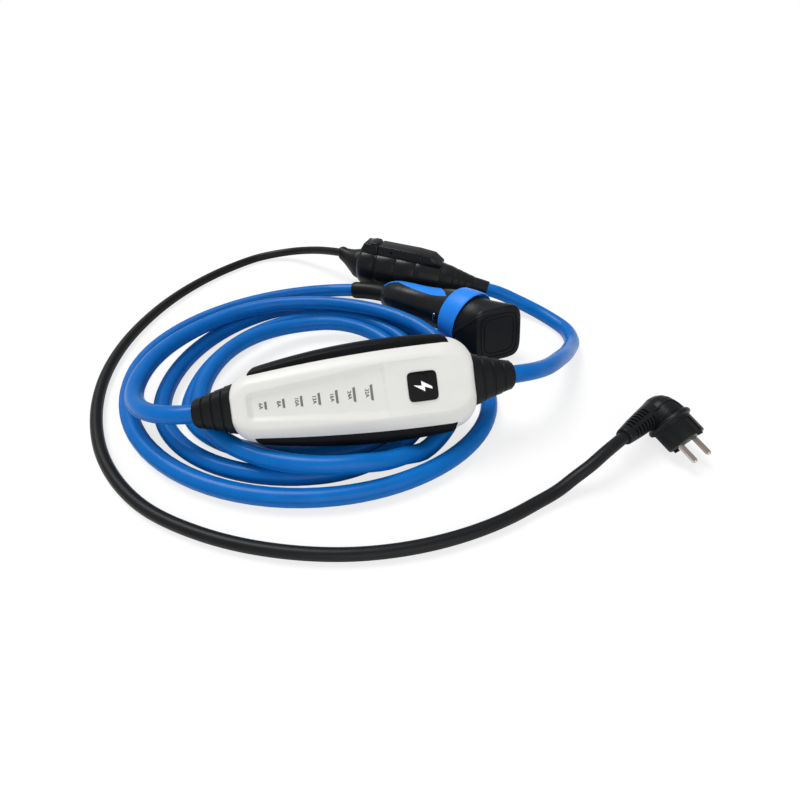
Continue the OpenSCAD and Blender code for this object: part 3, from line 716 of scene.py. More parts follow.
class Row:
    """Geometry Nodes tree that sets copies of a small mesh in a straight row, each longer than the last."""

    def __init__(self) -> None:
        """Builds the tree and keeps its inputs by name."""
        self.tree = bpy.data.node_groups.new("row_of_pieces", "GeometryNodeTree")
        face = self.tree.interface
        face.new_socket("Geometry", in_out="OUTPUT", socket_type="NodeSocketGeometry")
        kinds = {
            "Piece": "NodeSocketObject",
            "Count": "NodeSocketInt",
            "Start": "NodeSocketVector",
            "Step": "NodeSocketVector",
            "Growth": "NodeSocketVector",
            "Material": "NodeSocketMaterial",
        }
        self.inputs = {
            name: face.new_socket(name, in_out="INPUT", socket_type=kind).identifier
            for name, kind in kinds.items()
        }
        self._wire()

    def _wire(self) -> None:
        """Adds the nodes and links."""
        nodes, links = self.tree.nodes, self.tree.links
        given = nodes.new("NodeGroupInput")
        out = nodes.new("NodeGroupOutput")
        line = nodes.new("GeometryNodeMeshLine")
        source = nodes.new("GeometryNodeObjectInfo")
        index = nodes.new("GeometryNodeInputIndex")
        grow = nodes.new("ShaderNodeVectorMath")
        grow.operation = "MULTIPLY_ADD"
        grow.inputs[2].default_value = (1.0, 1.0, 1.0)
        copies = nodes.new("GeometryNodeInstanceOnPoints")
        real = nodes.new("GeometryNodeRealizeInstances")
        paint = nodes.new("GeometryNodeSetMaterial")
        for a, b in (
            (given.outputs["Piece"], source.inputs["Object"]),
            (given.outputs["Count"], line.inputs["Count"]),
            (given.outputs["Start"], line.inputs["Start Location"]),
            (given.outputs["Step"], line.inputs["Offset"]),
            (given.outputs["Growth"], grow.inputs[0]),
            (index.outputs[0], grow.inputs[1]),
            (line.outputs["Mesh"], copies.inputs["Points"]),
            (source.outputs["Geometry"], copies.inputs["Instance"]),
            (grow.outputs[0], copies.inputs["Scale"]),
            (copies.outputs[0], real.inputs[0]),
            (real.outputs[0], paint.inputs["Geometry"]),
            (given.outputs["Material"], paint.inputs["Material"]),
            (paint.outputs[0], out.inputs[0]),
        ):
            links.new(a, b)

    def lay(
        self,
        name: str,
        piece: bpy.types.Object,
        count: int,
        start: tuple[float, float, float],
        step: tuple[float, float, float],
        place: Place,
        finish: Finish,
        growth: tuple[float, float, float] = (0.0, 0.0, 0.0),
    ) -> bpy.types.Object:
        """Lays a row and bakes it to one mesh in the shared frame.

        Args:
            name: name of the result.
            piece: the small mesh, in millimetres, which is used up.
            count: number of copies.
            start: place of the first copy in the assembly's frame.
            step: distance from copy to copy.
            place: the assembly's place.
            finish: material of the row.
            growth: added scale of each copy over the one before.

        Returns:
            The baked object.
        """
        holder = bpy.data.objects.new(name + "_holder", bpy.data.meshes.new(name + "_holder"))
        bpy.context.scene.collection.objects.link(holder)
        modifier = holder.modifiers.new("row", "NODES")
        modifier.node_group = self.tree
        values = {"Piece": piece, "Count": count, "Start": start, "Step": step, "Growth": growth}
        values["Material"] = finish.material()
        for key, value in values.items():
            modifier[self.inputs[key]] = value
        made = baked(holder, name)
        bpy.data.objects.remove(piece)
        move_points(made, place.world)
        return made


def small_block(name: str, size: tuple[float, float, float], round_off: float) -> bpy.types.Object:
    """Block with rounded edges, in millimetres, for rows and cuts.

    Args:
        name: the block's name.
        size: its three sides.
        round_off: radius of its edges.

    Returns:
        The block.
    """
    work = bmesh.new()
    bmesh.ops.create_cube(work, size=1.0)
    bmesh.ops.scale(work, vec=size, verts=work.verts)
    bmesh.ops.bevel(work, geom=work.edges[:], offset=round_off, segments=2, affect="EDGES", profile=0.5)
    mesh = bpy.data.meshes.new(name)
    work.to_mesh(mesh)
    work.free()
    made = bpy.data.objects.new(name, mesh)
    bpy.context.scene.collection.objects.link(made)
    return made


# Control box


@dataclass
class ControlBox:
    """Tapered housing that leans towards the viewer, with bumpers, current bars, badge and two reliefs."""

    shop: Workshop
    row: Row
    place: Place = Place((-26.0, -142.0, 51.8), 50.0, 1.6, 1.3)
    length: float = 204.0
    wide: float = 79.0
    narrow: float = 54.0
    corner_wide: float = 25.0
    corner_narrow: float = 20.0
    top: float = 24.0
    bottom: float = 22.0
    shell_bow: float = 5.0
    bow: float = 4.7
    proud: float = 0.8
    tray_depth: float = 2.5
    tray_ends: tuple[float, ...] = (-86.5, -82.0, 23.4, 24.6, 78.0)
    tray_ramp: float = 0.35
    bank_start: float = -82.0
    bank_outer: tuple[float, float] = (11.5, 0.1095)
    bank_inner: tuple[float, float] = (7.4, 0.0819)
    bumper_low: float = -6.0
    bumper_high: float = 17.0
    bumper_left: tuple[float, float] = (-76.0, -9.0)
    bumper_right: tuple[float, float] = (74.0, 8.0)
    bumper_roll: float = 1.8
    bumper_sunk: float = 1.5
    bumper_wall: float = 0.7
    screws: tuple[tuple[float, float], ...] = ((-70, 11), (-70, -11), (62, 17), (62, -17))
    screw_pocket: tuple[tuple[float, float], ...] = ((-30.0, 3.1), (-17.0, 3.1))
    badge: float = 24.5
    badge_x: float = 54.5
    bars: int = 7
    bar_x: float = -72.0
    bar_pitch: float = 14.1
    relief_l: float = 36.0
    relief_l_narrow: float = 31.0
    relief_base: float = 22.0
    relief_base_narrow: float = 20.0
    relief_tip: float = 11.5
    relief_steps: int = 4
    relief_root: float = 3.0
    mark_size: float = 4.2
    mark_bold: float = 0.07
    mark_gap: float = 3.7
    mark_thick: float = 0.06
    mark_lift: float = 0.06
    marks: tuple[str, ...] = ("6A", "8A", "10A", "13A", "16A", "24A", "32A")
    upper_section: tuple = (
        (0.0, 1.0, 0.0),
        (0.29, 0.98, 0.3),
        (0.54, 0.92, 1.0),
        (0.75, 0.81, 2.2),
        (0.9, 0.7, 4.0),
        (0.97, 0.63, 6.0),
        (1.0, 0.57, 8.5),
    )
    lower_section: tuple = (
        (0.0, 1.0, 0.0),
        (0.18, 0.96, 0.4),
        (0.36, 0.9, 1.0),
        (0.64, 0.76, 2.5),
        (0.86, 0.6, 5.0),
        (1.0, 0.45, 9.0),
    )

    def half_at(self, x: Points) -> Points:
        """Half width of the plan at stations along the box."""
        t = x / self.length + 0.5
        return (self.narrow + (self.wide - self.narrow) * t) / 2 + 4 * self.shell_bow * t * (1 - t)

    def half_ring(self, share: float, pull: float, inset: float) -> Points:
        """One side of a level's outline, from the wide end to the narrow end.

        Args:
            share: share of the full width.
            pull: how far the ends draw in.
            inset: distance in from the outline.

        Returns:
            Points in plan.
        """
        reach = self.length / 2 - pull - inset
        wx, wy = self.corner_wide - inset, self.corner_wide * share - inset
        nx, ny = self.corner_narrow - inset, self.corner_narrow * share - inset
        x0, x1 = reach - wx, nx - reach
        y0, y1 = (self.half_at(x) * share - inset for x in (x0, x1))
        arc = np.radians(np.arange(0, 91, 3))
        first = np.column_stack([x0 + wx * np.cos(arc), y0 - wy + wy * np.sin(arc)])
        xs = np.linspace(x0, x1, 121)[1:-1]
        side = np.column_stack([xs, self.half_at(xs) * share - inset])
        last = np.column_stack([x1 - nx * np.sin(arc), y1 - ny + ny * np.cos(arc)])
        return np.concatenate([first, side, last])

    def ring(self, z: float, share: float, pull: float, inset: float = 0.0) -> Points:
        """Closed outline of one level.

        Args:
            z: height of the level.
            share: share of the full width.
            pull: how far the ends draw in.
            inset: distance in from the outline.

        Returns:
            The outline's points.
        """
        half = self.half_ring(share, pull, inset)
        flat = np.concatenate([half, half[::-1] * (1.0, -1.0)])
        return np.column_stack([flat, np.full(len(flat), z)])

    def banks(self, x: Points) -> tuple[Points, ...]:
        """Outer and inner edges of the tray's sloping banks at stations along the box."""
        run = x - self.bank_start
        return tuple(start + run * slope for start, slope in (self.bank_outer, self.bank_inner))

    def tray(self, x: Points, y: Points) -> Points:
        """Depth of the sunken tray in the face: level floor, a step, then a ramp that fades out.

        Args:
            x: stations along the box.
            y: places across it.

        Returns:
            Depth below the face.
        """
        depth = self.tray_depth
        floor = np.interp(x, self.tray_ends, [0.0, depth, depth, self.tray_ramp * depth, 0.0])
        outer, inner = self.banks(x)
        wall = np.clip((outer - np.abs(y)) / (outer - inner), 0.0, 1.0)
        return floor * (0.6 * wall + 0.4 * wall * wall * (3 - 2 * wall))

    def face(self, half: Points) -> tuple[Points, Faces]:
        """Grid that closes the top ring and holds the tray.

        Args:
            half: one side of the top ring.

        Returns:
            Points and faces.
        """
        rows = []
        for x, edge in half:
            outer, inner = self.banks(x)
            steps = [0.0, 0.3 * inner, 0.6 * inner, 0.85 * inner, inner - 0.25, inner + 0.25]
            steps += [inner + (outer - inner) * t for t in (0.2, 0.4, 0.6, 0.8)]
            steps += [outer - 0.25, outer + 0.25, outer + 0.8]
            ys = np.array(steps) * min(1.0, edge / (outer + 1.0))
            ys = np.append(ys, edge)
            ys = np.concatenate([-ys[:0:-1], ys])
            xs = np.full(len(ys), x)
            rows.append(np.column_stack([xs, ys, self.top - self.tray(xs, ys)]))
        return np.concatenate(rows), grid_faces(len(rows), len(rows[0]))

    def build_shells(self) -> None:
        """Makes both shells, with a fine joint line between them."""
        levels = curve_through(self.upper_section, 5)
        rings = [self.ring(0.05, 1.0, 0.0, 0.5), self.ring(0.35, 1.0, 0.0, 0.1)]
        rings += [self.ring(max(z, 0.05) * self.top, s, p) for z, s, p in levels[1:-1]]
        z, share, pull = self.upper_section[-1]
        rings.append(self.ring(self.top, share, pull))
        points, faces = loft(rings, (True, False))
        more, extra = self.face(self.half_ring(share, pull, 0.0))
        faces += [tuple(i + len(points) for i in f) for f in extra]
        upper = new_object("upper_case", self.place.world(np.concatenate([points, more])), faces)
        self.shop.settle(upper, SHELL_WHITE, ("upper_shell",), crease=50.0)
        levels = curve_through(self.lower_section, 5)
        rings = [self.ring(-0.05, 1.0, 0.0, 0.5), self.ring(-0.35, 1.0, 0.0, 0.1)]
        rings += [self.ring(-max(z, 0.05) * self.bottom, s, p) for z, s, p in levels[1:]]
        points, faces = loft(rings)
        lower = new_object("lower_case", self.place.world(points), faces)
        for x, y in self.screws:
            hole = lathe_rings(self.screw_pocket, 24)
            points, faces = loft([np.column_stack([r[:, 1] + x, r[:, 2] + y, r[:, 0]]) for r in hole])
            lower = cut(lower, new_object("screw_pocket", self.place.world(points), faces))
        self.shop.settle(lower, SHELL_WHITE, ("lower_shell",), crease=50.0)
        self.shop.dress("housing_screws", NICKEL)

    def share_at(self, z: float) -> tuple[float, float]:
        """Share of the width and pull-in of the ends at a height.

        Args:
            z: height above the joint of the shells.

        Returns:
            The share and the pull.
        """
        upper = z >= 0
        section, height = (self.upper_section, self.top) if upper else (self.lower_section, self.bottom)
        levels = curve_through(section, 5)
        return (
            float(np.interp(abs(z) / height, levels[:, 0], levels[:, 1])),
            float(np.interp(abs(z) / height, levels[:, 0], levels[:, 2])),
        )

    def bumper_row(self, z: float) -> Points:
        """One level of the far bumper's outer face.

        Args:
            z: height of the level.

        Returns:
            Points from the narrow end to the wide end.
        """
        low, high = self.bumper_low, self.bumper_high
        share, pull = self.share_at(z)
        t = (z - low) / (high - low)
        left, right = (end + slope * t for end, slope in (self.bumper_left, self.bumper_right))
        roll = np.array([0, 0.2, 0.5, 1.0, 1.6])
        xs = np.concatenate([left + roll, np.linspace(left + 3, right - 3, 90), right - roll[::-1]])
        half = self.half_ring(share, pull, 0.0)
        base = np.interp(xs, half[::-1, 0], half[::-1, 1])
        t = xs / self.length + 0.5
        swell = 4 * self.bow * t * (1 - t) * share
        edge = np.minimum(np.minimum(xs - left, right - xs), min(z - low, high - z))
        rise = np.sqrt(np.clip(1 - (1 - np.clip(edge / self.bumper_roll, 0, 1)) ** 2, 0, 1))
        y = base - self.bumper_sunk + (swell + self.proud + self.bumper_sunk) * rise
        return np.column_stack([xs, y, np.full(len(xs), z)])

    def build_bumpers(self) -> None:
        """Makes the two bowed side bumpers, whose edges roll into the shell."""
        levels = np.linspace(self.bumper_low, self.bumper_high, 25)
        for side, node in ((1, "far_bumper"), (-1, "near_bumper")):
            rows = [self.bumper_row(z) * (1, side, 1) for z in levels]
            back = [row - np.array([0, side * self.bumper_wall, 0]) for row in rows]
            m, n = len(rows), len(rows[0])
            faces = grid_faces(m, n)
            faces += [tuple(i + m * n for i in reversed(f)) for f in faces]
            faces += rim_faces(m, n)
            made = new_object(node + "_strip", self.place.world(np.concatenate(rows + back)), faces)
            self.shop.settle(made, BUMPER_RUBBER, (node,), crease=60.0)

    def build_marks(self) -> None:
        """Makes the growing current bars and their numbers."""
        foot = [(-0.8, -2.9, 0), (-0.8, 2.9, 0), (1.1, 3.3, 0), (1.1, -3.3, 0)]
        crown = [(-0.7, -2.8, 0.3), (-0.7, 2.8, 0.3), (1.0, 3.2, 0.3), (1.0, -3.2, 0.3)]
        faces = [(0, 1, 2, 3), (4, 5, 6, 7), (0, 1, 5, 4), (1, 2, 6, 5), (2, 3, 7, 6), (3, 0, 4, 7)]
        bar = new_object("bar", np.array(foot + crown), faces)
        floor = self.top - self.tray_depth
        start, step, growth = (self.bar_x, 0, floor - 0.05), (self.bar_pitch, 0, 0), (0.03, 0.18, 0.0)
        row = self.row.lay("current_bars", bar, self.bars, start, step, self.place, BAR_GREY, growth)
        self.shop.settle(row, BAR_GREY, ("indicator_bars",), crease=20.0)
        for i, word in enumerate(self.marks):
            self.letter(word, self.bar_x + self.bar_pitch * i - self.mark_gap, floor + self.mark_lift)

    def letter(self, word: str, x: float, z: float) -> None:
        """Sets a small printed mark on the tray, read along the box's width.

        Args:
            word: the mark.
            x: place along the box.
            z: height of the print's middle.
        """

        def turned(points: Points) -> Points:
            """Turns the mark across the box and sets it on the tray."""
            return self.place.world(np.column_stack([points[:, 1] + x, -points[:, 0], points[:, 2] + z]))

        text = bpy.data.curves.new("mark_" + word, "FONT")
        text.body = word
        text.size = self.mark_size
        text.offset = self.mark_bold
        text.align_x = "CENTER"
        text.align_y = "CENTER"
        text.extrude = self.mark_thick / 2
        raw = bpy.data.objects.new("mark_raw", text)
        bpy.context.scene.collection.objects.link(raw)
        made = baked(raw, "mark_" + word)
        move_points(made, turned)
        self.shop.settle(made, PRINT_GREY)

    def build_badge(self) -> None:
        """Makes the gloss badge with a plain charging bolt on it."""
        half = self.badge / 2
        rings = []
        for z, inset in ((-0.6, 0.0), (0.1, 0.0), (0.4, 0.12), (0.5, 0.45)):
            flat = round_ring(96, 7.0) * (half - inset)
            level = np.full(96, self.top + z)
            rings.append(np.column_stack([flat[:, 0] + self.badge_x, flat[:, 1], level]))
        self.shop.skin("badge_plate", self.place, rings, BADGE_GLOSS, ("face_badge",), crease=40.0)
        bolt = np.array(
            [[1.0, 7.6], [-4.4, -1.0], [-0.5, -1.0], [-1.5, -7.6], [4.4, 1.5], [0.5, 1.5], [3.0, 7.6]]
        )
        bolt = np.column_stack([bolt[:, 1], -bolt[:, 0]])
        rings = [
            np.column_stack([bolt[:, 0] + self.badge_x, bolt[:, 1], np.full(len(bolt), self.top + z)])
            for z in (0.48, 0.54)
        ]
        self.shop.skin("badge_bolt", self.place, rings, PRINT_WHITE, crease=20.0)

    def relief_rings(self, base: float, length: float) -> list[Points]:
        """Rings of a stepped strain relief, from its root to its tip.

        Args:
            base: radius at the root.
            length: how far it stands out of the housing.

        Returns:
            The rings in the box's frame.
        """
        x0, steps = self.length / 2 - self.relief_root, self.relief_steps
        run, fall = (length + self.relief_root) / steps, (base - self.relief_tip) / steps
        profile: list[tuple[float, float]] = [(x0, base - 0.6), (x0 + 0.5, base)]
        for k in range(steps):
            x, r = x0 + run * k, base - fall * k
            if k:
                profile += [(x - 0.1, r - 0.35), (x + 0.35, r)]
            profile += [(x + run * 0.45, r - fall * 0.32), (x + run * 0.72, r - fall * 0.5)]
            profile += [(x + run * 0.76, r - fall * 0.55 - 0.5), (x + run * 0.8, r - fall * 0.6 - 1.3)]
            profile += [(x + run * 0.94, r - fall * 0.7 - 1.35)]
        tip = self.length / 2 + length
        lip = ((1.0, 0.6), (0.3, 1.0), (0.0, 1.6))
        profile += [(tip - back, self.relief_tip - fall_in) for back, fall_in in lip]
        rings = []
        for x, r in profile:
            t = (x - x0) / (tip - x0)
            ring = lathe_rings([(x, r)], 72, 3.2 - 1.1 * t)[0]
            rings.append(ring * (1.0, 1.0 + 0.045 * (1 - t), 1.0 - 0.045 * (1 - t)))
        return rings

    def build_reliefs(self) -> None:
        """Makes the strain reliefs of the charge side and of the supply side."""
        narrow = self.relief_rings(self.relief_base_narrow, self.relief_l_narrow)
        turned = [ring * (-1.0, 1.0, -1.0) for ring in narrow]
        self.shop.skin("charge_relief_boot", self.place, turned, RELIEF_RUBBER, ("charge_relief",))
        wide = self.relief_rings(self.relief_base, self.relief_l)
        self.shop.skin("supply_relief_boot", self.place, wide, RELIEF_RUBBER, ("supply_relief",))

    def dress_inside(self) -> None:
        """Gives the pieces inside the housing their finishes."""
        finishes = {
            "housing_seal": SEAL_GREY,
            "circuit_board": BOARD_GREEN,
            "relays": COMPONENT_GREY,
            "capacitors": COMPONENT_GREY,
            "current_sensor": COMPONENT_GREY,
            "terminal_blocks": COMPONENT_GREY,
            "charge_cores": CORE_BROWN,
            "supply_cores": CORE_BROWN,
        }
        for node, finish in finishes.items():
            self.shop.dress(node, finish)

    def build(self) -> None:
        """Makes the whole control box."""
        self.build_shells()
        self.build_bumpers()
        self.build_marks()
        self.build_badge()
        self.build_reliefs()
        self.dress_inside()


# Vehicle connector


@dataclass
class VehicleConnector:
    """Grip with a blue inlay and collar, and a push-on cap over its nose."""

    shop: Workshop
    nose: Place = Place((96.8, 7.2, 31.0), 0.0, 1.0, -56.0)
    grip: Place = Place((96.8, 7.2, 31.0), 0.0, 7.3, -47.0)
    grip_l: float = 105.0
    sleeve_r: float = 10.5
    sleeve_bend: float = 110.0
    sleeve_arc: float = 26.0
    collar_r: float = 30.0
    collar_l: float = 20.0
    nose_r: float = 23.0
    nose_l: float = 25.0
    cap_gap: float = 0.3
    cap_skirt: float = 28.5
    cap_wide: float = 28.0
    cap_half: float = 30.0
    plate: Place = Place((62.0, 0.0, 0.0), 0.0, 13.0, -22.0)
    sides: int = 96
    cap_sides: int = 120
    clip_size: tuple[float, float, float] = (2.8, 2.0, 9.0)
    strap_r: float = 1.1
    profile: tuple = (
        (-105.0, 12.5),
        (-102.5, 15.4),
        (-97.0, 17.8),
        (-85.0, 19.6),
        (-71.0, 20.2),
        (-45.0, 20.6),
        (-28.0, 22.0),
        (-15.0, 24.0),
        (0.0, 26.0),
    )
    leaf_edges: tuple[tuple[float, float, float], ...] = (
        (0.0, 112.0, 120.0),
        (0.08, 88.0, 100.0),
        (0.18, 70.0, 89.0),
        (0.45, 56.0, 105.0),
        (0.68, 60.0, 113.0),
        (0.85, 82.0, 116.0),
        (1.0, 111.5, 113.5),
    )
    fold: tuple[tuple[float, float, float], ...] = (
        (51.1, -7.6, 27.4),
        (49.4, -14.6, 25.3),
        (46.4, -20.6, 22.0),
        (40.5, -23.3, 15.1),
        (34.6, -26.5, 8.5),
        (29.1, -28.3, 3.5),
        (22.6, -28.1, -3.0),
        (22.4, -24.8, -14.0),
        (22.3, -19.8, -20.4),
        (22.2, -12.5, -25.4),
    )
    clip_at: tuple[float, float, float] = (-10.5, -25.2, 0.5)
    strap: tuple[tuple[float, float, float], ...] = (
        (-10.5, -25.4, -2.0),
        (-9.5, -23.7, -9.0),
        (-6.5, -21.6, -15.2),
        (-2.4, -19.6, -19.7),
    )

    def sleeve_tip(self) -> tuple[Points, Points]:
        """Rear end of the sleeve.

        Returns:
            Its place, and the direction of the cable into it.
        """
        a, bend = math.radians(self.sleeve_arc), self.sleeve_bend
        back = (-self.grip_l - bend * math.sin(a), -bend * (1 - math.cos(a)), 0.0)
        return self.grip.point(back), self.grip.heading((math.cos(a), math.sin(a), 0.0))

    def radius_at(self, x: Points) -> Points:
        """Radius of the grip at stations along it."""
        curve = curve_through(self.profile, 6)
        return np.interp(x, curve[:, 0], curve[:, 1])

    def build_grip(self) -> None:
        """Makes both grip halves, which meet at a fine joint line and turn into the nose's direction."""
        stations = np.concatenate([[-105.0, -104.6, -104.0, -103.0], np.linspace(-101.5, -14.0, 60)])
        radii = self.radius_at(stations)
        radii[:2] -= (1.2, 0.3)
        path = np.array([self.grip.point((x, 0, 0)) for x in stations])
        ahead = self.grip.heading((1, 0, 0))
        front = self.nose.heading((1, 0, 0))
        n, nose = self.sides, np.asarray(self.nose.at)
        rings = [ring_at(p, ahead, r, n) for p, r in zip(path, radii)]
        for t in (0.35, 0.7, 0.9, 1.0):
            mid = path[-1] + (nose - path[-1]) * t
            rings.append(ring_at(mid, unit(ahead * (1 - t) + front * t), 24.0 + 2.3 * t, n))
        rings.append(ring_at(nose, front, 25.0, n))
        for k, name, node in ((0, "grip_top", "grip_upper"), (1, "grip_base", "grip_lower")):
            pick = [(k * n // 2 + i) % n for i in range(n // 2 + 1)]
            kept = [np.concatenate([r[pick], r[pick].mean(axis=0)[None]]) for r in rings]
            self.shop.skin(name, FLOOR, kept, BLACK_PLASTIC, (node,), crease=40.0)

    def build_sleeve(self) -> None:
        """Makes the bent cable sleeve behind the grip."""
        arc = np.radians(np.linspace(0.0, self.sleeve_arc, 24))
        back, across = self.sleeve_bend * np.sin(arc), self.sleeve_bend * (np.cos(arc) - 1)
        path = np.array([self.grip.point((-self.grip_l - b, a, 0.0)) for b, a in zip(back, across)])
        radii = np.full(len(path), self.sleeve_r)
        radii[-1] -= 1.0
        radii[-2] -= 0.2
        _, inward = self.sleeve_tip()
        rings = sweep(path, radii, self.sides // 2, (self.grip.heading((-1, 0, 0)), -inward))
        self.shop.skin("sleeve", FLOOR, rings, RELIEF_RUBBER, ("cable_sleeve",))

    def build_inlay(self) -> None:
        """Makes the blue leaf that lies on the grip's crown, with a thin tail round its rear shoulder."""
        xs = np.linspace(-101.0, -6.0, 90)
        edges = curve_through(self.leaf_edges, 8)
        t = (xs + 101.0) / 95.0
        far, near = (np.interp(t, edges[:, 0], edges[:, k]) for k in (1, 2))
        radii = self.radius_at(xs)
        m, n = len(xs), 25
        rows = []
        for lift in (0.45, -0.6):
            for x, r, a, b in zip(xs, radii, far, near):
                angle = np.radians(np.linspace(a, b, n))
                edge = np.minimum(np.arange(n), n - 1 - np.arange(n))
                out = r + lift - 0.35 * (edge == 0) * (lift > 0)
                rows.append(np.column_stack([np.full(n, x), np.cos(angle) * out, np.sin(angle) * out]))
        faces = grid_faces(m, n) + grid_faces(m, n, m * n) + rim_faces(m, n)
        made = new_object("leaf_inlay", self.grip.world(np.concatenate(rows)), faces)
        self.shop.settle(made, BLUE_PLASTIC, ("grip_inlay",), crease=40.0)

    def build_collar(self) -> None:
        """Makes the blue collar ring, whose front lip reaches further over the cap on the far side."""
        r, end = self.collar_r, self.collar_l
        profile = [
            (-1.2, 24.5, 0.0), (-1.2, r - 2.2, 0.0), (-0.8, r - 1.0, 0.0), (0.1, r - 0.3, 0.1), (1.5, r, 0.2),
            (end / 2, r + 0.15, 0.7), (end - 0.8, r + 0.1, 1.0), (end + 0.5, r - 0.1, 1.0),
            (end + 1.1, r - 0.5, 1.0), (end + 1.2, r - 0.95, 1.0), (end - 0.3, r - 1.1, 0.0),
            (end - 0.3, 25.0, 0.0),
        ]
        rings = []
        for x, radius, slant in profile:
            ring = lathe_rings([(x, radius)], self.sides)[0]
            far = 0.5 + 0.5 * np.cos(np.arctan2(ring[:, 2], ring[:, 1]) - math.radians(50.0))
            lift = 1.0 + slant * far**2 * 2.6 / radius
            rings.append(np.column_stack([x + 4.0 * slant * far, ring[:, 1] * lift, ring[:, 2] * lift]))
        self.shop.skin("collar_band", self.nose, rings, BLUE_PLASTIC, ("collar_ring",), crease=40.0)

    def build_clip(self) -> None:
        """Makes the metal clip on the grip's side and the strap that runs from it to the collar."""
        block = small_block("strap_clip", self.clip_size, 0.6)
        move_points(block, lambda p: self.nose.world(p + np.array(self.clip_at)))
        self.shop.settle(block, NICKEL)
        ends = (self.nose.heading((0.0, 0.2, -1.0)), self.nose.heading((1.0, 0.4, -0.9)))
        path = smooth_path(np.array([self.nose.point(q) for q in self.strap]), ends[0], ends[1], 6)
        rings = sweep(path, np.full(len(path), self.strap_r), 14, ends)
        self.shop.skin("clip_strap", FLOOR, rings, RELIEF_RUBBER)

    def skirt_ring(self, x: float, radius: float) -> Points:
        """Round ring of the cap at a distance from the collar."""
        return lathe_rings([(self.collar_l + x, radius)], self.cap_sides)[0]

    def plate_ring(self, depth: float, inset: float, square: float = 4.6) -> Points:
        """Ring of the cap's slanted plate, square with round corners.

        Args:
            depth: distance out from the plate's front.
            inset: distance in from its edge.
            square: how square the ring is.

        Returns:
            The ring in the nose's frame.
        """
        flat = round_ring(self.cap_sides, square) * (self.cap_wide - inset, self.cap_half - inset)
        local = np.column_stack([np.full(self.cap_sides, depth), flat])
        return local @ self.plate.matrix().T + np.asarray(self.plate.at)

    def build_cap(self) -> None:
        """Makes the cap: round skirt, slanted plate with two sunk lines, and a hollow for the nose."""
        r, bore, gap = self.cap_skirt, self.nose_r + self.cap_gap, self.cap_gap
        skirt = [(self.nose_l + gap, bore), (gap, bore), (gap, r - 1.2), (0.8, r - 0.4)]
        skirt += [(2.0, r), (11.0, r), (12.0, r)]
        rings = [self.skirt_ring(x, radius) for x, radius in skirt]
        root, rim = rings[-1], self.plate_ring(-4.0, 0.0)
        for t in np.linspace(0.0, 1.0, 17)[1:]:
            s = t + 0.25 * t * (1 - t) * (1 - 2 * t)
            rings.append(root * (1 - s) + rim * s)
        brow = ((-2.6, 0.2), (-1.4, 0.9), (-0.6, 1.9), (-0.15, 3.1), (0.0, 4.4))
        rings += [self.plate_ring(depth, inset) for depth, inset in brow]
        groove = ((0.0, 0.0), (-0.25, 0.2), (-0.7, 0.35), (-0.7, 1.2), (-0.25, 1.35), (0.0, 1.55))
        for line in (6.0, 10.0):
            rings += [self.plate_ring(depth, line + inset, 4.8) for depth, inset in groove]
        rings.append(self.plate_ring(0.0, 22.0, 3.0))
        points, faces = loft(rings)
        made = new_object("cap_shell", self.nose.world(points), faces)
        self.shop.settle(made, RELIEF_RUBBER, ("protective_cap",), Body.CAP, 38.0)
        self.build_fold()

    def build_fold(self) -> None:
        """Makes the fold that runs over the cap's side to the collar's lower end."""
        first, last = self.nose.heading((-1, 0, -0.6)), self.nose.heading((0, 1, -0.6))
        path = smooth_path(np.array([self.nose.point(q) for q in self.fold]), first, last, 6)
        radii = np.interp(np.linspace(0, 1, len(path)), [0, 0.2, 0.8, 1], [0.5, 1.5, 1.6, 0.8])
        rings = sweep(path, radii, 16, (path[1] - path[0], path[-1] - path[-2]))
        self.shop.skin("cap_ridge", FLOOR, rings, RELIEF_RUBBER, body=Body.CAP)

    def build(self) -> None:
        """Makes the whole connector."""
        self.build_grip()
        self.build_sleeve()
        self.build_inlay()
        self.build_collar()
        self.build_clip()
        self.build_cap()
        finishes = {
            "contact_carrier": BLACK_PLASTIC,
            "power_contacts": BRASS,
            "signal_contacts": BRASS,
            "grip_screws": NICKEL,
            "grip_cores": CORE_BROWN,
        }
        for node, finish in finishes.items():
            self.shop.dress(node, finish)


# Coupler


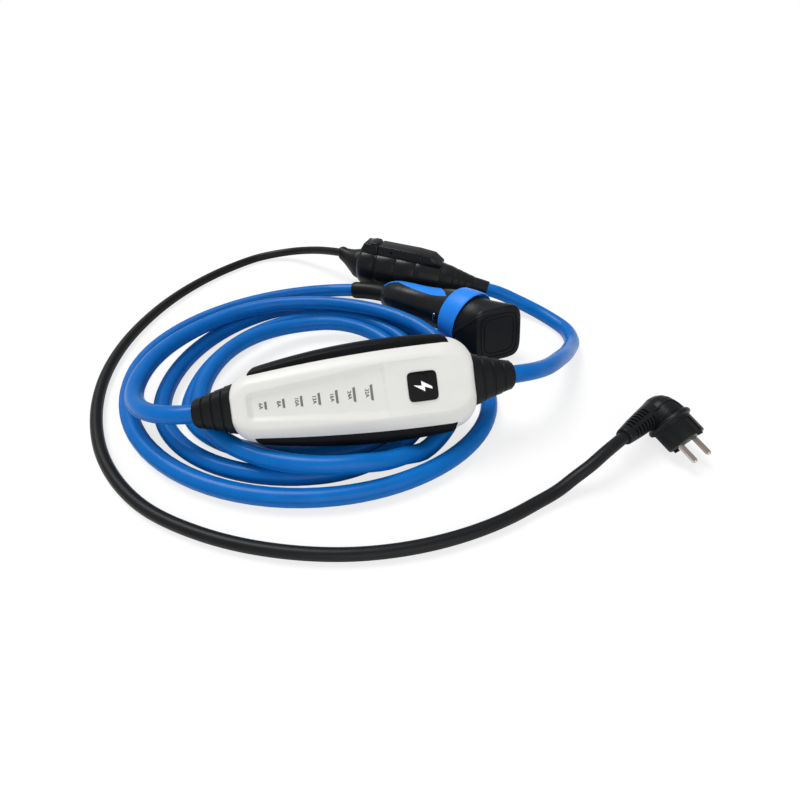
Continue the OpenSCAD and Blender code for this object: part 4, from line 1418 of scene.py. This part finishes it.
@dataclass
class Coupler:
    """In-line coupler: bent gland, plug head, socket body with a ridge, and a ribbed tail."""

    shop: Workshop
    place: Place = Place((0.1, 153.6, 27.1), 0.0, -1.0, -30.0)
    length: float = 175.0
    head: float = 28.0
    radius: float = 26.0
    socket_end: float = 115.0
    ridge_top: float = 34.0
    seam_gap: float = 27.0
    gland_l: float = 32.0
    gland_bend: float = 12.0
    gland_rise: float = 0.27
    gland_radii: tuple = (20.8, 18.2, 14.6, 11.5, 9.4, 8.3)
    tail_ribs: int = 4
    tail_rib: tuple[float, float] = (16.0, 18.0)
    tail_step: tuple[float, float] = (8.0, -1.9)
    catch_half: float = 8.8

    def gland_path(self) -> Points:
        """Axis of the gland.

        Returns:
            Its points, in millimetres in the shared frame.
        """
        points = [np.asarray(self.place.at)]
        step = self.gland_l / 5
        for k in range(5):
            way = math.radians(self.place.way + 180 - self.gland_bend * (k + 0.5) / 5)
            points.append(points[-1] + step * np.array([math.cos(way), math.sin(way), self.gland_rise]))
        return np.array(points)

    def gland_out(self) -> Points:
        """Direction in which the lead leaves the gland."""
        way = math.radians(self.place.way + 180 - self.gland_bend)
        return unit(np.array([math.cos(way), math.sin(way), -0.15]))

    def tail_tip(self) -> Points:
        """End of the tail, in millimetres in the shared frame."""
        return self.place.point((self.length, 0, 0))

    def build_gland(self) -> None:
        """Makes the flexible gland."""
        path = smooth_path(self.gland_path(), self.place.heading((-1, 0, 0)), self.gland_out(), 6)
        radii = np.interp(np.arange(31) / 6, np.arange(6), self.gland_radii)
        radii = np.convolve(np.pad(radii, 3, "edge"), np.ones(7) / 7, "valid")
        radii[-1] -= 0.8
        rings = sweep(path, radii, 64, (self.place.heading((-1, 0, 0)), self.gland_out()))
        self.shop.skin("gland_cone", FLOOR, rings, RELIEF_RUBBER, ("coupler_gland",))

    def ridge(
        self, name: str, stations: list[tuple[float, float, float]], node: tuple[str, ...] = ()
    ) -> None:
        """Makes one length of the flat-topped ridge.

        Args:
            name: the piece's name.
            stations: places along the coupler, each with the fall of the top and the pinch of the sides.
            node: CAD nodes that it replaces.
        """
        top, low = self.ridge_top, 23.3
        side = [(13.0, 17.0), (12.8, low), (12.5, 24.6), (10.1, 33.0), (9.6, 33.7), (8.8, top)]
        flat = np.array([(-y, z) for y, z in side] + side[::-1])
        share = np.clip((flat[:, 1] - low) / (top - low), 0.0, 1.0)
        rings = []
        for x, fall, pinch in stations:
            y = flat[:, 0] - np.sign(flat[:, 0]) * pinch * (1.0 - 0.75 * share)
            rings.append(np.column_stack([np.full(len(flat), x), y, flat[:, 1] - fall * share]))
        self.shop.skin(name, self.place, rings, BLACK_PLASTIC, node, crease=30.0)

    def body(
        self,
        name: str,
        profile: list[tuple[float, float]],
        finish: Finish,
        node: str,
        sides: int,
        crease: float,
    ) -> None:
        """Makes one turned body.

        Args:
            name: the piece's name.
            profile: pairs of distance and radius.
            finish: its material.
            node: the CAD node that it replaces.
            sides: points round it.
            crease: angle past which an edge stays sharp.
        """
        self.shop.skin(name, self.place, lathe_rings(profile, sides), finish, (node,), crease=crease)

    def build_bodies(self) -> None:
        """Makes the plug head, the socket body and the tail."""
        r, h = self.radius, self.head
        head = [
            (0.0, r - 6.5), (0.6, r - 5.2), (2.0, r - 3.0), (4.5, r - 1.1), (8.0, r - 0.1), (10.0, r),
            (h - 3.4, r), (h - 2.9, r - 0.2), (h - 2.6, r - 0.9), (h - 2.2, r - 0.9), (h - 1.9, r - 0.3),
            (h - 0.6, r - 0.3), (h, r - 1.0),
        ]
        self.body("head_body", head, BLACK_PLASTIC, "coupler_head", 96, 28.0)
        e = self.socket_end
        socket = [(h + 0.3, r - 1.2), (h + 0.8, r - 0.2), (h + 1.6, r)]
        groove = ((-0.8, 0.0), (-0.2, 0.2), (0.0, 0.8), (0.6, 0.8), (0.8, 0.2), (1.4, 0.0))
        for x, step in ((h + self.seam_gap, 0.0), (h + 2 * self.seam_gap, 0.4)):
            socket += [(x + a, r - step - b) for a, b in groove]
        socket += [(90.0, r - 1.4), (100.0, r - 2.5), (108.0, r - 3.5), (e, r - 4.5)]
        self.body("socket_body", socket, BLACK_PLASTIC, "coupler_socket", 96, 28.0)
        tail = [(e - 0.4, r - 4.9), (e + 4.0, r - 5.3), (e + 9.0, r - 6.0)]
        for k in range(self.tail_ribs):
            x, t = (at + step * k for at, step in zip(self.tail_rib, self.tail_step))
            x += e
            tail += [(x, t), (x + 0.4, t - 0.6), (x + 1.4, t - 0.7), (x + 1.8, t - 0.3)]
        tail += [(self.length - 2.0, 10.2), (self.length - 0.6, 9.8), (self.length, 9.0)]
        self.body("tail_boot", tail, RELIEF_RUBBER, "coupler_tail", 72, 26.0)

    def build_ridges(self) -> None:
        """Makes the ridge on both bodies, a flat disc of painted shade for its tool hole, and its raised
        catch.
        """
        h = self.head
        head = [(4.0, 8.4, 1.3), (4.3, 7.6, 1.0), (8.4, 0.6, 0.1), (9.0, 0.15, 0.0), (9.8, 0.0, 0.0)]
        head += [(h - 1.3, 0.0, 0.0), (h - 0.7, 0.2, 0.1), (h - 0.2, 0.8, 0.5)]
        self.ridge("head_ridge", head)
        x0, x1 = h + 1.2, h + 2 * self.seam_gap - 1.0
        latch = [(x0, 0.8, 0.5), (x0 + 0.4, 0.2, 0.1), (x0 + 1.0, 0.0, 0.0), (x1 - 1.0, 0.0, 0.0)]
        latch += [(x1 + 1.5, 0.15, 0.15), (x1 + 18.5, 1.45, 1.4), (x1 + 20.5, 1.9, 1.6)]
        latch += [(x1 + 22.0, 2.9, 1.9), (x1 + 31.0, 9.4, 3.5), (x1 + 31.5, 10.2, 3.8)]
        self.ridge("latch_ridge", latch, ("coupler_latch",))
        self.build_tool_hole()
        self.build_catch()

    def build_tool_hole(self) -> None:
        """Makes a thin gloss-black disc on the ridge's near side: painted shade that stands for the tool
        hole's dark mouth.
        """
        rings = lathe_rings([(-0.1, 1.7), (-0.02, 1.7)], 20)
        along = np.array([1.0, 0.0, 0.0])
        side = np.array([0.0, -0.9615, 0.2747])
        across = np.array([0.0, 0.2747, 0.9615])
        middle = np.array([self.head + 19.1, -11.3, 28.75])
        disc = [
            middle + np.outer(r[:, 1], along) + np.outer(r[:, 2], across) + side * (0.1 + r[0, 0])
            for r in rings
        ]
        # A flat black disc on the surface, painted shade in place of the hole's recess.
        self.shop.skin("tool_hole", self.place, disc, BADGE_GLOSS)

    def build_catch(self) -> None:
        """Makes the raised catch on the head's ridge."""
        h, top = self.head, self.ridge_top
        section = [(10.0, top - 0.6), (h - 0.5, top - 0.6), (h - 1.5, top + 2.0), (h - 8.0, top + 2.0)]
        sides = (-self.catch_half, self.catch_half)
        points, faces = loft([np.array([(x, y, z) for x, z in section]) for y in sides])
        made = new_object("ridge_catch_raw", self.place.world(points), faces)
        bevel = made.modifiers.new("soft", "BEVEL")
        bevel.width = 0.9 * MM
        bevel.segments = 3
        self.shop.settle(baked(made, "ridge_catch"), BLACK_PLASTIC)

    def build(self) -> None:
        """Makes the whole coupler."""
        self.build_gland()
        self.build_bodies()
        self.build_ridges()
        self.shop.dress("coupler_seal", SEAL_GREY)
        self.shop.dress("coupler_pins", BRASS)


# Mains plug


@dataclass
class MainsPlug:
    """Right-angled earthed plug with a ribbed boot."""

    shop: Workshop
    row: Row
    place: Place = Place((248.3, -185.5, 21.6), -2.0, -15.0, -68.0)
    flange_r: float = 20.0
    body_r: float = 17.0
    body_l: float = 19.0
    boot_x: float = -17.0
    boot_l: float = 54.0
    boot_yaw: float = 9.0
    melt_mm: float = 0.55
    melt_rounds: int = 14
    channel: tuple[float, float] = (6.0, 7.0)
    slots: int = 7
    slot: tuple[float, float, float] = (7.4, 1.9, 6.4)
    slot_at: tuple[float, float, float, float] = (7.2, 5.2, 22.0, 4.0)
    elbow_edge: tuple[tuple[float, float, float], ...] = (
        (-15.3, -17.2, 10.5),
        (-15.4, -9.7, 12.8),
        (-16.8, -4.4, 14.7),
        (-15.4, 3.4, 15.3),
        (-9.7, 6.2, 15.8),
        (-4.5, 4.9, 16.9),
    )
    elbow_lip: tuple[tuple[float, float, float], ...] = (
        (-3.9, -16.5, 6.6),
        (-6.3, -14.6, 9.9),
        (-7.2, -9.4, 14.8),
        (-5.5, -0.2, 17.3),
    )

    def boot_point(self, across: float, along: float, up: float = 0.0) -> tuple[float, float, float]:
        """A point of the slanted boot.

        Args:
            across: distance from the boot's middle.
            along: distance from its root.
            up: height over its middle.

        Returns:
            The point in the plug's frame.
        """
        turn = math.radians(self.boot_yaw)
        x = self.boot_x + across * math.cos(turn) + along * math.sin(turn)
        return x, across * math.sin(turn) - along * math.cos(turn), up

    def boot_tip(self) -> Points:
        """End of the boot, in millimetres in the shared frame."""
        return self.place.point(self.boot_point(0.0, self.boot_l))

    def boot_inward(self) -> Points:
        """Direction of the lead into the boot."""
        turn = math.radians(self.boot_yaw)
        return self.place.heading((-math.sin(turn), math.cos(turn), 0.0))

    def build_hood(self) -> None:
        """Makes the elbow and boot as one soft moulding with rows of rib slots."""
        end = self.boot_l
        boot = [
            (end, 6.4), (end - 0.4, 7.0), (end - 1.6, 7.4), (36.0, 9.2), (16.0, 10.6), (2.0, 11.2),
            (-6.0, 10.8), (-10.0, 8.0), (-12.0, 3.0),
        ]
        rings = lathe_rings(boot, 64, 2.4)
        points, faces = loft([np.array([self.boot_point(y, x, z) for x, y, z in ring]) for ring in rings])
        parts = [new_object("boot_raw", self.place.world(points), faces)]
        dome = [
            (-1.5, 17.6), (-4.5, 17.4), (-8.0, 17.0), (-14.0, 16.0), (-20.0, 14.2), (-24.5, 11.2),
            (-27.5, 7.0), (-28.8, 2.0),
        ]
        points, faces = loft(lathe_rings(dome, 64, 2.2))
        parts.append(new_object("dome_raw", self.place.world(points), faces))
        hood = fuse(parts, "hood", self.melt_mm * MM, self.melt_rounds)
        up, out, first, pitch = self.slot_at
        for z in (up, -up):
            for across in (out, -out):
                slot = small_block("slot", self.slot, 0.6)
                start = np.array(self.boot_point(across, first, z))
                step = np.array(self.boot_point(across, first + pitch, z)) - start
                cutter = self.row.lay(
                    "slots", slot, self.slots, tuple(start), tuple(step), self.place, RELIEF_RUBBER
                )
                hood = cut(hood, cutter)
        self.shop.settle(hood, RELIEF_RUBBER, ("plug_body",), crease=38.0)

    def build_edges(self) -> list[bpy.types.Object]:
        """Makes the raised edges that run over both faces of the elbow.

        Returns:
            The edges.
        """
        made = []
        for name, line in (("elbow_edge", self.elbow_edge), ("elbow_lip", self.elbow_lip)):
            for face, side in (("top", 1.0), ("under", -1.0)):
                points = np.array([self.place.point((x, y, side * z)) for x, y, z in line])
                path = smooth_path(points, points[1] - points[0], points[-1] - points[-2], 8)
                share = np.linspace(0, 1, len(path))
                radii = np.interp(share, [0, 0.15, 0.85, 1], [0.2, 0.9, 0.9, 0.3])
                rings = sweep(path, radii, 14, (path[1] - path[0], path[-1] - path[-2]))
                made.append(self.shop.skin(f"{name}_{face}", FLOOR, rings, RELIEF_RUBBER))
        return made

    def build_front(self) -> None:
        """Makes the flange and the front body with its earth channels."""
        f, r, end = self.flange_r, self.body_r, self.body_l
        profile = [
            (-5.2, 16.0), (-5.0, f - 2.4), (-4.2, f - 1.0), (-3.0, f - 0.2), (-1.4, f), (-0.4, f - 0.5),
            (0.4, f - 1.6), (0.7, r + 0.6), (1.4, r + 0.1), (2.2, r), (end - 1.4, r - 0.2),
            (end - 0.5, r - 0.6), (end, r - 1.6), (end, 2.0),
        ]
        points, faces = loft(lathe_rings(profile, 96))
        front = new_object("plug_front", self.place.world(points), faces)
        for side in (1, -1):
            block = small_block("channel", (end + 8.0, *self.channel), 0.5)
            middle = np.array([end / 2 + 7.5, 0.0, side * (r + 1.3)])
            move_points(block, lambda p: self.place.world(p + middle))
            front = cut(front, block)
        self.shop.settle(front, RELIEF_RUBBER, crease=30.0)
        self.shop.dress("plug_pins", NICKEL)
        self.shop.dress("earth_clips", DULL_NICKEL)

    def build(self) -> list[bpy.types.Object]:
        """Makes the whole plug.

        Returns:
            The pieces on the lead's end.
        """
        self.build_hood()
        self.build_front()
        nodes = [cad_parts[n] for n in ("plug_pins", "earth_clips")]
        return [self.shop.made["hood"], self.shop.made["plug_front"]] + self.build_edges() + nodes


# Cords

CABLE_D = 16.0
LEAD_D = 10.5
COIL_STEPS = 24
ROUTE_STEPS = 10
JACKET_SIDES = 28
MOST_POINTS = 400


@dataclass
class Cord:
    """A round cable along a route."""

    shop: Workshop
    name: str
    node: str
    finish: Finish
    diameter: float
    path: Points
    ends: tuple[Points, Points]

    def build(
        self, far_end: FarEnd, stiffness: Stiffness, lay: Lay, pieces: list[bpy.types.Object]
    ) -> None:
        """Args:
            far_end: what the cable ends in; not used.
            stiffness: how it bends; not used.
            lay: how it lies; not used.
            pieces: what is on its far end; not used.
        """
        rings = sweep(self.path, np.full(len(self.path), self.diameter / 2), JACKET_SIDES, self.ends)
        made = self.shop.skin(self.name, FLOOR, rings, self.finish, (self.node,))
        path = self.path * MM
        self.diameter * MM
        [tuple(p) for p in path[:: max(1, len(path) // MOST_POINTS)]] + [tuple(path[-1])]


@dataclass
class ChargeRoute:
    """Lay of the charge cable: quarter turns between its outermost points, and a height for each stretch."""

    start: Points
    end: Points
    inward: Points
    keys: tuple = (
        (-229.2, -73.8, 2), (-95.2, 64.2, 2), (76.8, -78.8, 2), (-33.2, -195.8, 2),
        (-170.2, -85.8, 2), (-59.2, 29.2, 2), (32.8, -68.8, 2), (-47.2, -167.8, 2),
        (-185.2, -81.8, 2), (-59.2, 57.2, 2), (50.8, -76.8, 2), (-61.2, -189.8, 2),
        (-213.2, -65.8, 2), (-63.2, 86.2, 2), (104.8, -101.8, 1.5), (-48.2, -213.3, 2),
        (-251.7, -31.8, 2), (-53.2, 120.2, 2),
    )
    lift: tuple = (
        (0, 48.1), (1, 31), (1.6, 25), (2, 24.5), (2.72, 24.5), (3.3, 8), (3.6, 8), (3.78, 19),
        (4, 24.5), (4.4, 24.5), (4.62, 23.6), (4.8, 24.4), (5.3, 24.4), (6, 16), (7, 8), (18, 8),
    )

    def height(self, s: float) -> float:
        """Height of the cable's centre.

        Args:
            s: quarters gone since the start.

        Returns:
            The height.
        """
        for (s0, z0), (s1, z1) in zip(self.lift, self.lift[1:]):
            if s <= s1:
                t = (s - s0) / (s1 - s0)
                return z0 + (z1 - z0) * t * t * (3 - 2 * t)
        return self.lift[-1][1]

    def quarter(self, q: int, t: float) -> tuple[float, float, float]:
        """Point on a quarter turn: even quarters set out along x, odd ones along y.

        Args:
            q: number of the quarter.
            t: share of it that has gone.

        Returns:
            The point.
        """
        a = self.start if q == 0 else self.keys[q - 1]
        b = self.keys[q]
        power = 2 / b[2]
        c = max(math.cos(math.pi / 2 * t), 0.0) ** power
        s = math.sin(math.pi / 2 * t) ** power
        x = a[0] + (b[0] - a[0]) * s if q % 2 == 0 else b[0] + (a[0] - b[0]) * c
        y = b[1] + (a[1] - b[1]) * c if q % 2 == 0 else a[1] + (b[1] - a[1]) * s
        return x, y, self.height(q + t)

    def points(self, steps: int) -> Points:
        """The whole route.

        Args:
            steps: steps in a quarter turn.

        Returns:
            Its points in order.
        """
        out = [tuple(self.start)]
        out += [self.quarter(q, (k + 1) / steps) for q in range(len(self.keys)) for k in range(steps)]
        run_in = np.array([out[-1], tuple(self.end)])
        last = smooth_path(run_in, np.array([1.0, 0, 0]), self.inward, steps // 2)
        return np.concatenate([np.array(out), last[1:]])


CONNECTOR_PIECES = (
    "sleeve", "grip_top", "grip_base", "leaf_inlay", "collar_band", "cap_shell", "strap_clip", "clip_strap",
)
LINK_ROUTE = (
    (146.8, -124.8, 47.5), (178.8, -95.8, 35), (201.8, -67.8, 22), (220.8, -37.8, 12),
    (225.8, -9.8, 8), (214.8, 19.2, 8), (190.8, 46.2, 13),
)
MAINS_ROUTE = (
    (-68.2, 216.2, 22), (-109.2, 242.2, 9.5), (-146.9, 239.7, 5.3), (-185.2, 211.7, 5.3),
    (-220.2, 174.2, 5.3), (-248.2, 131.2, 5.3), (-268.2, 84.2, 5.3), (-281.2, 30.2, 5.3),
    (-283.2, -28.8, 5.3), (-271.2, -90.8, 5.3), (-243.2, -151.8, 5.3), (-202.2, -199.8, 5.3),
    (-150.2, -232.8, 5.3), (-91.2, -254.8, 5.3), (-33.2, -264.8, 5.3), (26.8, -262.8, 5.3),
    (84.8, -248.8, 5.3), (106.8, -240, 5.3), (130.7, -230.6, 7.8), (145, -224.2, 12.5),
    (158.2, -219.2, 18.5), (174.5, -210.7, 23.8),
)


def lay_cords(
    shop: Workshop,
    box: ControlBox,
    connector: VehicleConnector,
    coupler: Coupler,
    plug: MainsPlug,
    plug_pieces: list[bpy.types.Object],
) -> None:
    """Lays the three cables between the assemblies.

    Args:
        shop: where the pieces are kept.
        box: the control box.
        connector: the vehicle connector.
        coupler: the in-line coupler.
        plug: the mains plug.
        plug_pieces: pieces on the mains lead's end.
    """
    reach = box.length / 2 + box.relief_l
    back = -box.length / 2 - box.relief_l_narrow
    out, tip = box.place.heading((-1, 0, 0)), box.place.point((back, 0, 0))
    sleeve, inward = connector.sleeve_tip()
    path = ChargeRoute(tip, sleeve, inward).points(COIL_STEPS)
    cable = Cord(shop, "charge_jacket", "charge_cable", CABLE_BLUE, CABLE_D, path, (out, inward))
    cable.build(FarEnd.CONNECTOR, Stiffness.STIFF, Lay.COILED, [shop.made[n] for n in CONNECTOR_PIECES])
    out, inward = box.place.heading((1, 0, 0)), coupler.place.heading((-1, 0, 0))
    stops = np.array([box.place.point((reach, 0, 0)), *LINK_ROUTE, coupler.tail_tip()])
    path = smooth_path(stops, out, inward, ROUTE_STEPS)
    cable = Cord(shop, "link_jacket", "link_cable", CABLE_BLUE, CABLE_D, path, (out, inward))
    cable.build(FarEnd.OBJECT, Stiffness.STIFF, Lay.LOOSE, [])
    out, inward = coupler.gland_out(), plug.boot_inward()
    stops = np.array([coupler.gland_path()[-1], *MAINS_ROUTE, plug.boot_tip()])
    path = smooth_path(stops, out, inward, ROUTE_STEPS)
    cable = Cord(shop, "mains_jacket", "mains_cable", MAINS_BLACK, LEAD_D, path, (out, inward))
    cable.build(FarEnd.PLUG, Stiffness.MEDIUM, Lay.LOOSE, plug_pieces)


# Studio


@dataclass
class Studio:
    """White floor, soft lights and the camera of the photograph."""

    eye: tuple[float, float, float] = (-29.0, -445.5, 316.0)
    aim: tuple[float, float, float] = (0.0996, 0.7364, -0.6691)
    lens: float = 21.15
    keep_shadow: float = 0.25
    floor_half: float = 6.0
    floor_z: float = -0.0006
    paper: float = 0.86
    sky: float = 0.45
    lamps: tuple[tuple[str, tuple[float, float, float], float, float], ...] = (
        ("key", (-0.35, 0.45, 1.0), 30.0, 2.6),
        ("fill", (0.1, -1.0, 0.45), 60.0, 1.5),
    )

    def build_floor(self) -> None:
        """Makes a large pale floor that shows white and keeps soft shadows."""
        h, z = self.floor_half, self.floor_z
        corners = np.array([(-h, -h, z), (h, -h, z), (h, h, z), (-h, h, z)])
        floor = new_object("floor", corners, [(0, 1, 2, 3)])
        graph = Graph("floor_paper")
        rays = graph.node("ShaderNodeLightPath", output="Is Camera Ray")
        white = graph.node("ShaderNodeEmission", inputs={"Color": (1, 1, 1, 1), "Strength": 1.0})
        paper = graph.node("ShaderNodeBsdfDiffuse", inputs={"Color": (self.paper, self.paper, self.paper, 1)})
        share = rays * (1 - self.keep_shadow)
        mixed = graph.node("ShaderNodeMixShader", inputs={0: share, 1: paper, 2: white})
        floor.data.materials.append(graph.finish(mixed))

    def build_world(self) -> None:
        """Sets a white sky for the camera and a soft one for the object."""
        world = bpy.data.worlds.new("studio")
        bpy.context.scene.world = world
        world.use_nodes = True
        tree = world.node_tree
        tree.nodes.clear()
        rays = tree.nodes.new("ShaderNodeLightPath")
        mix = tree.nodes.new("ShaderNodeMixShader")
        out = tree.nodes.new("ShaderNodeOutputWorld")
        tree.links.new(rays.outputs["Is Camera Ray"], mix.inputs[0])
        for k, strength in ((1, self.sky), (2, 1.0)):
            plain = tree.nodes.new("ShaderNodeBackground")
            plain.inputs["Color"].default_value = (1, 1, 1, 1)
            plain.inputs["Strength"].default_value = strength
            tree.links.new(plain.outputs[0], mix.inputs[k])
        tree.links.new(mix.outputs[0], out.inputs["Surface"])

    def lamp(self, name: str, at: tuple[float, float, float], spread: float, strength: float) -> None:
        """Adds a broad, even light from one side of the studio.

        Args:
            name: the light's name.
            at: direction that it comes from.
            spread: its width in degrees, which softens shadows.
            strength: its strength.
        """
        light = bpy.data.lights.new(name, "SUN")
        light.angle = math.radians(spread)
        light.energy = strength
        made = bpy.data.objects.new(name, light)
        made.rotation_euler = (-Vector(at)).to_track_quat("-Z", "Y").to_euler()
        bpy.context.scene.collection.objects.link(made)

    def build_camera(self) -> None:
        """Sets the camera where the photograph was taken from."""
        data = bpy.data.cameras.new("camera")
        data.lens = self.lens
        data.sensor_width = 36.0
        data.clip_start = 0.01
        camera = bpy.data.objects.new("camera", data)
        camera.location = Vector(self.eye) * MM
        camera.rotation_euler = Vector(self.aim).to_track_quat("-Z", "Y").to_euler()
        bpy.context.scene.collection.objects.link(camera)
        bpy.context.scene.camera = camera

    def build(self) -> None:
        """Makes the whole studio."""
        bpy.context.scene.view_settings.view_transform = "Standard"
        self.build_floor()
        self.build_world()
        self.build_camera()
        for name, at, spread, strength in self.lamps:
            self.lamp(name, at, spread, strength)


def main() -> None:
    """Builds every assembly in order."""
    logging.basicConfig(level=logging.INFO, format="%(message)s")
    shop, row = Workshop(), Row()
    Studio().build()
    box = ControlBox(shop, row)
    box.build()
    connector = VehicleConnector(shop)
    connector.build()
    coupler = Coupler(shop)
    coupler.build()
    plug = MainsPlug(shop, row)
    lay_cords(shop, box, connector, coupler, plug, plug.build())


if __name__ == "__main__":
    main()
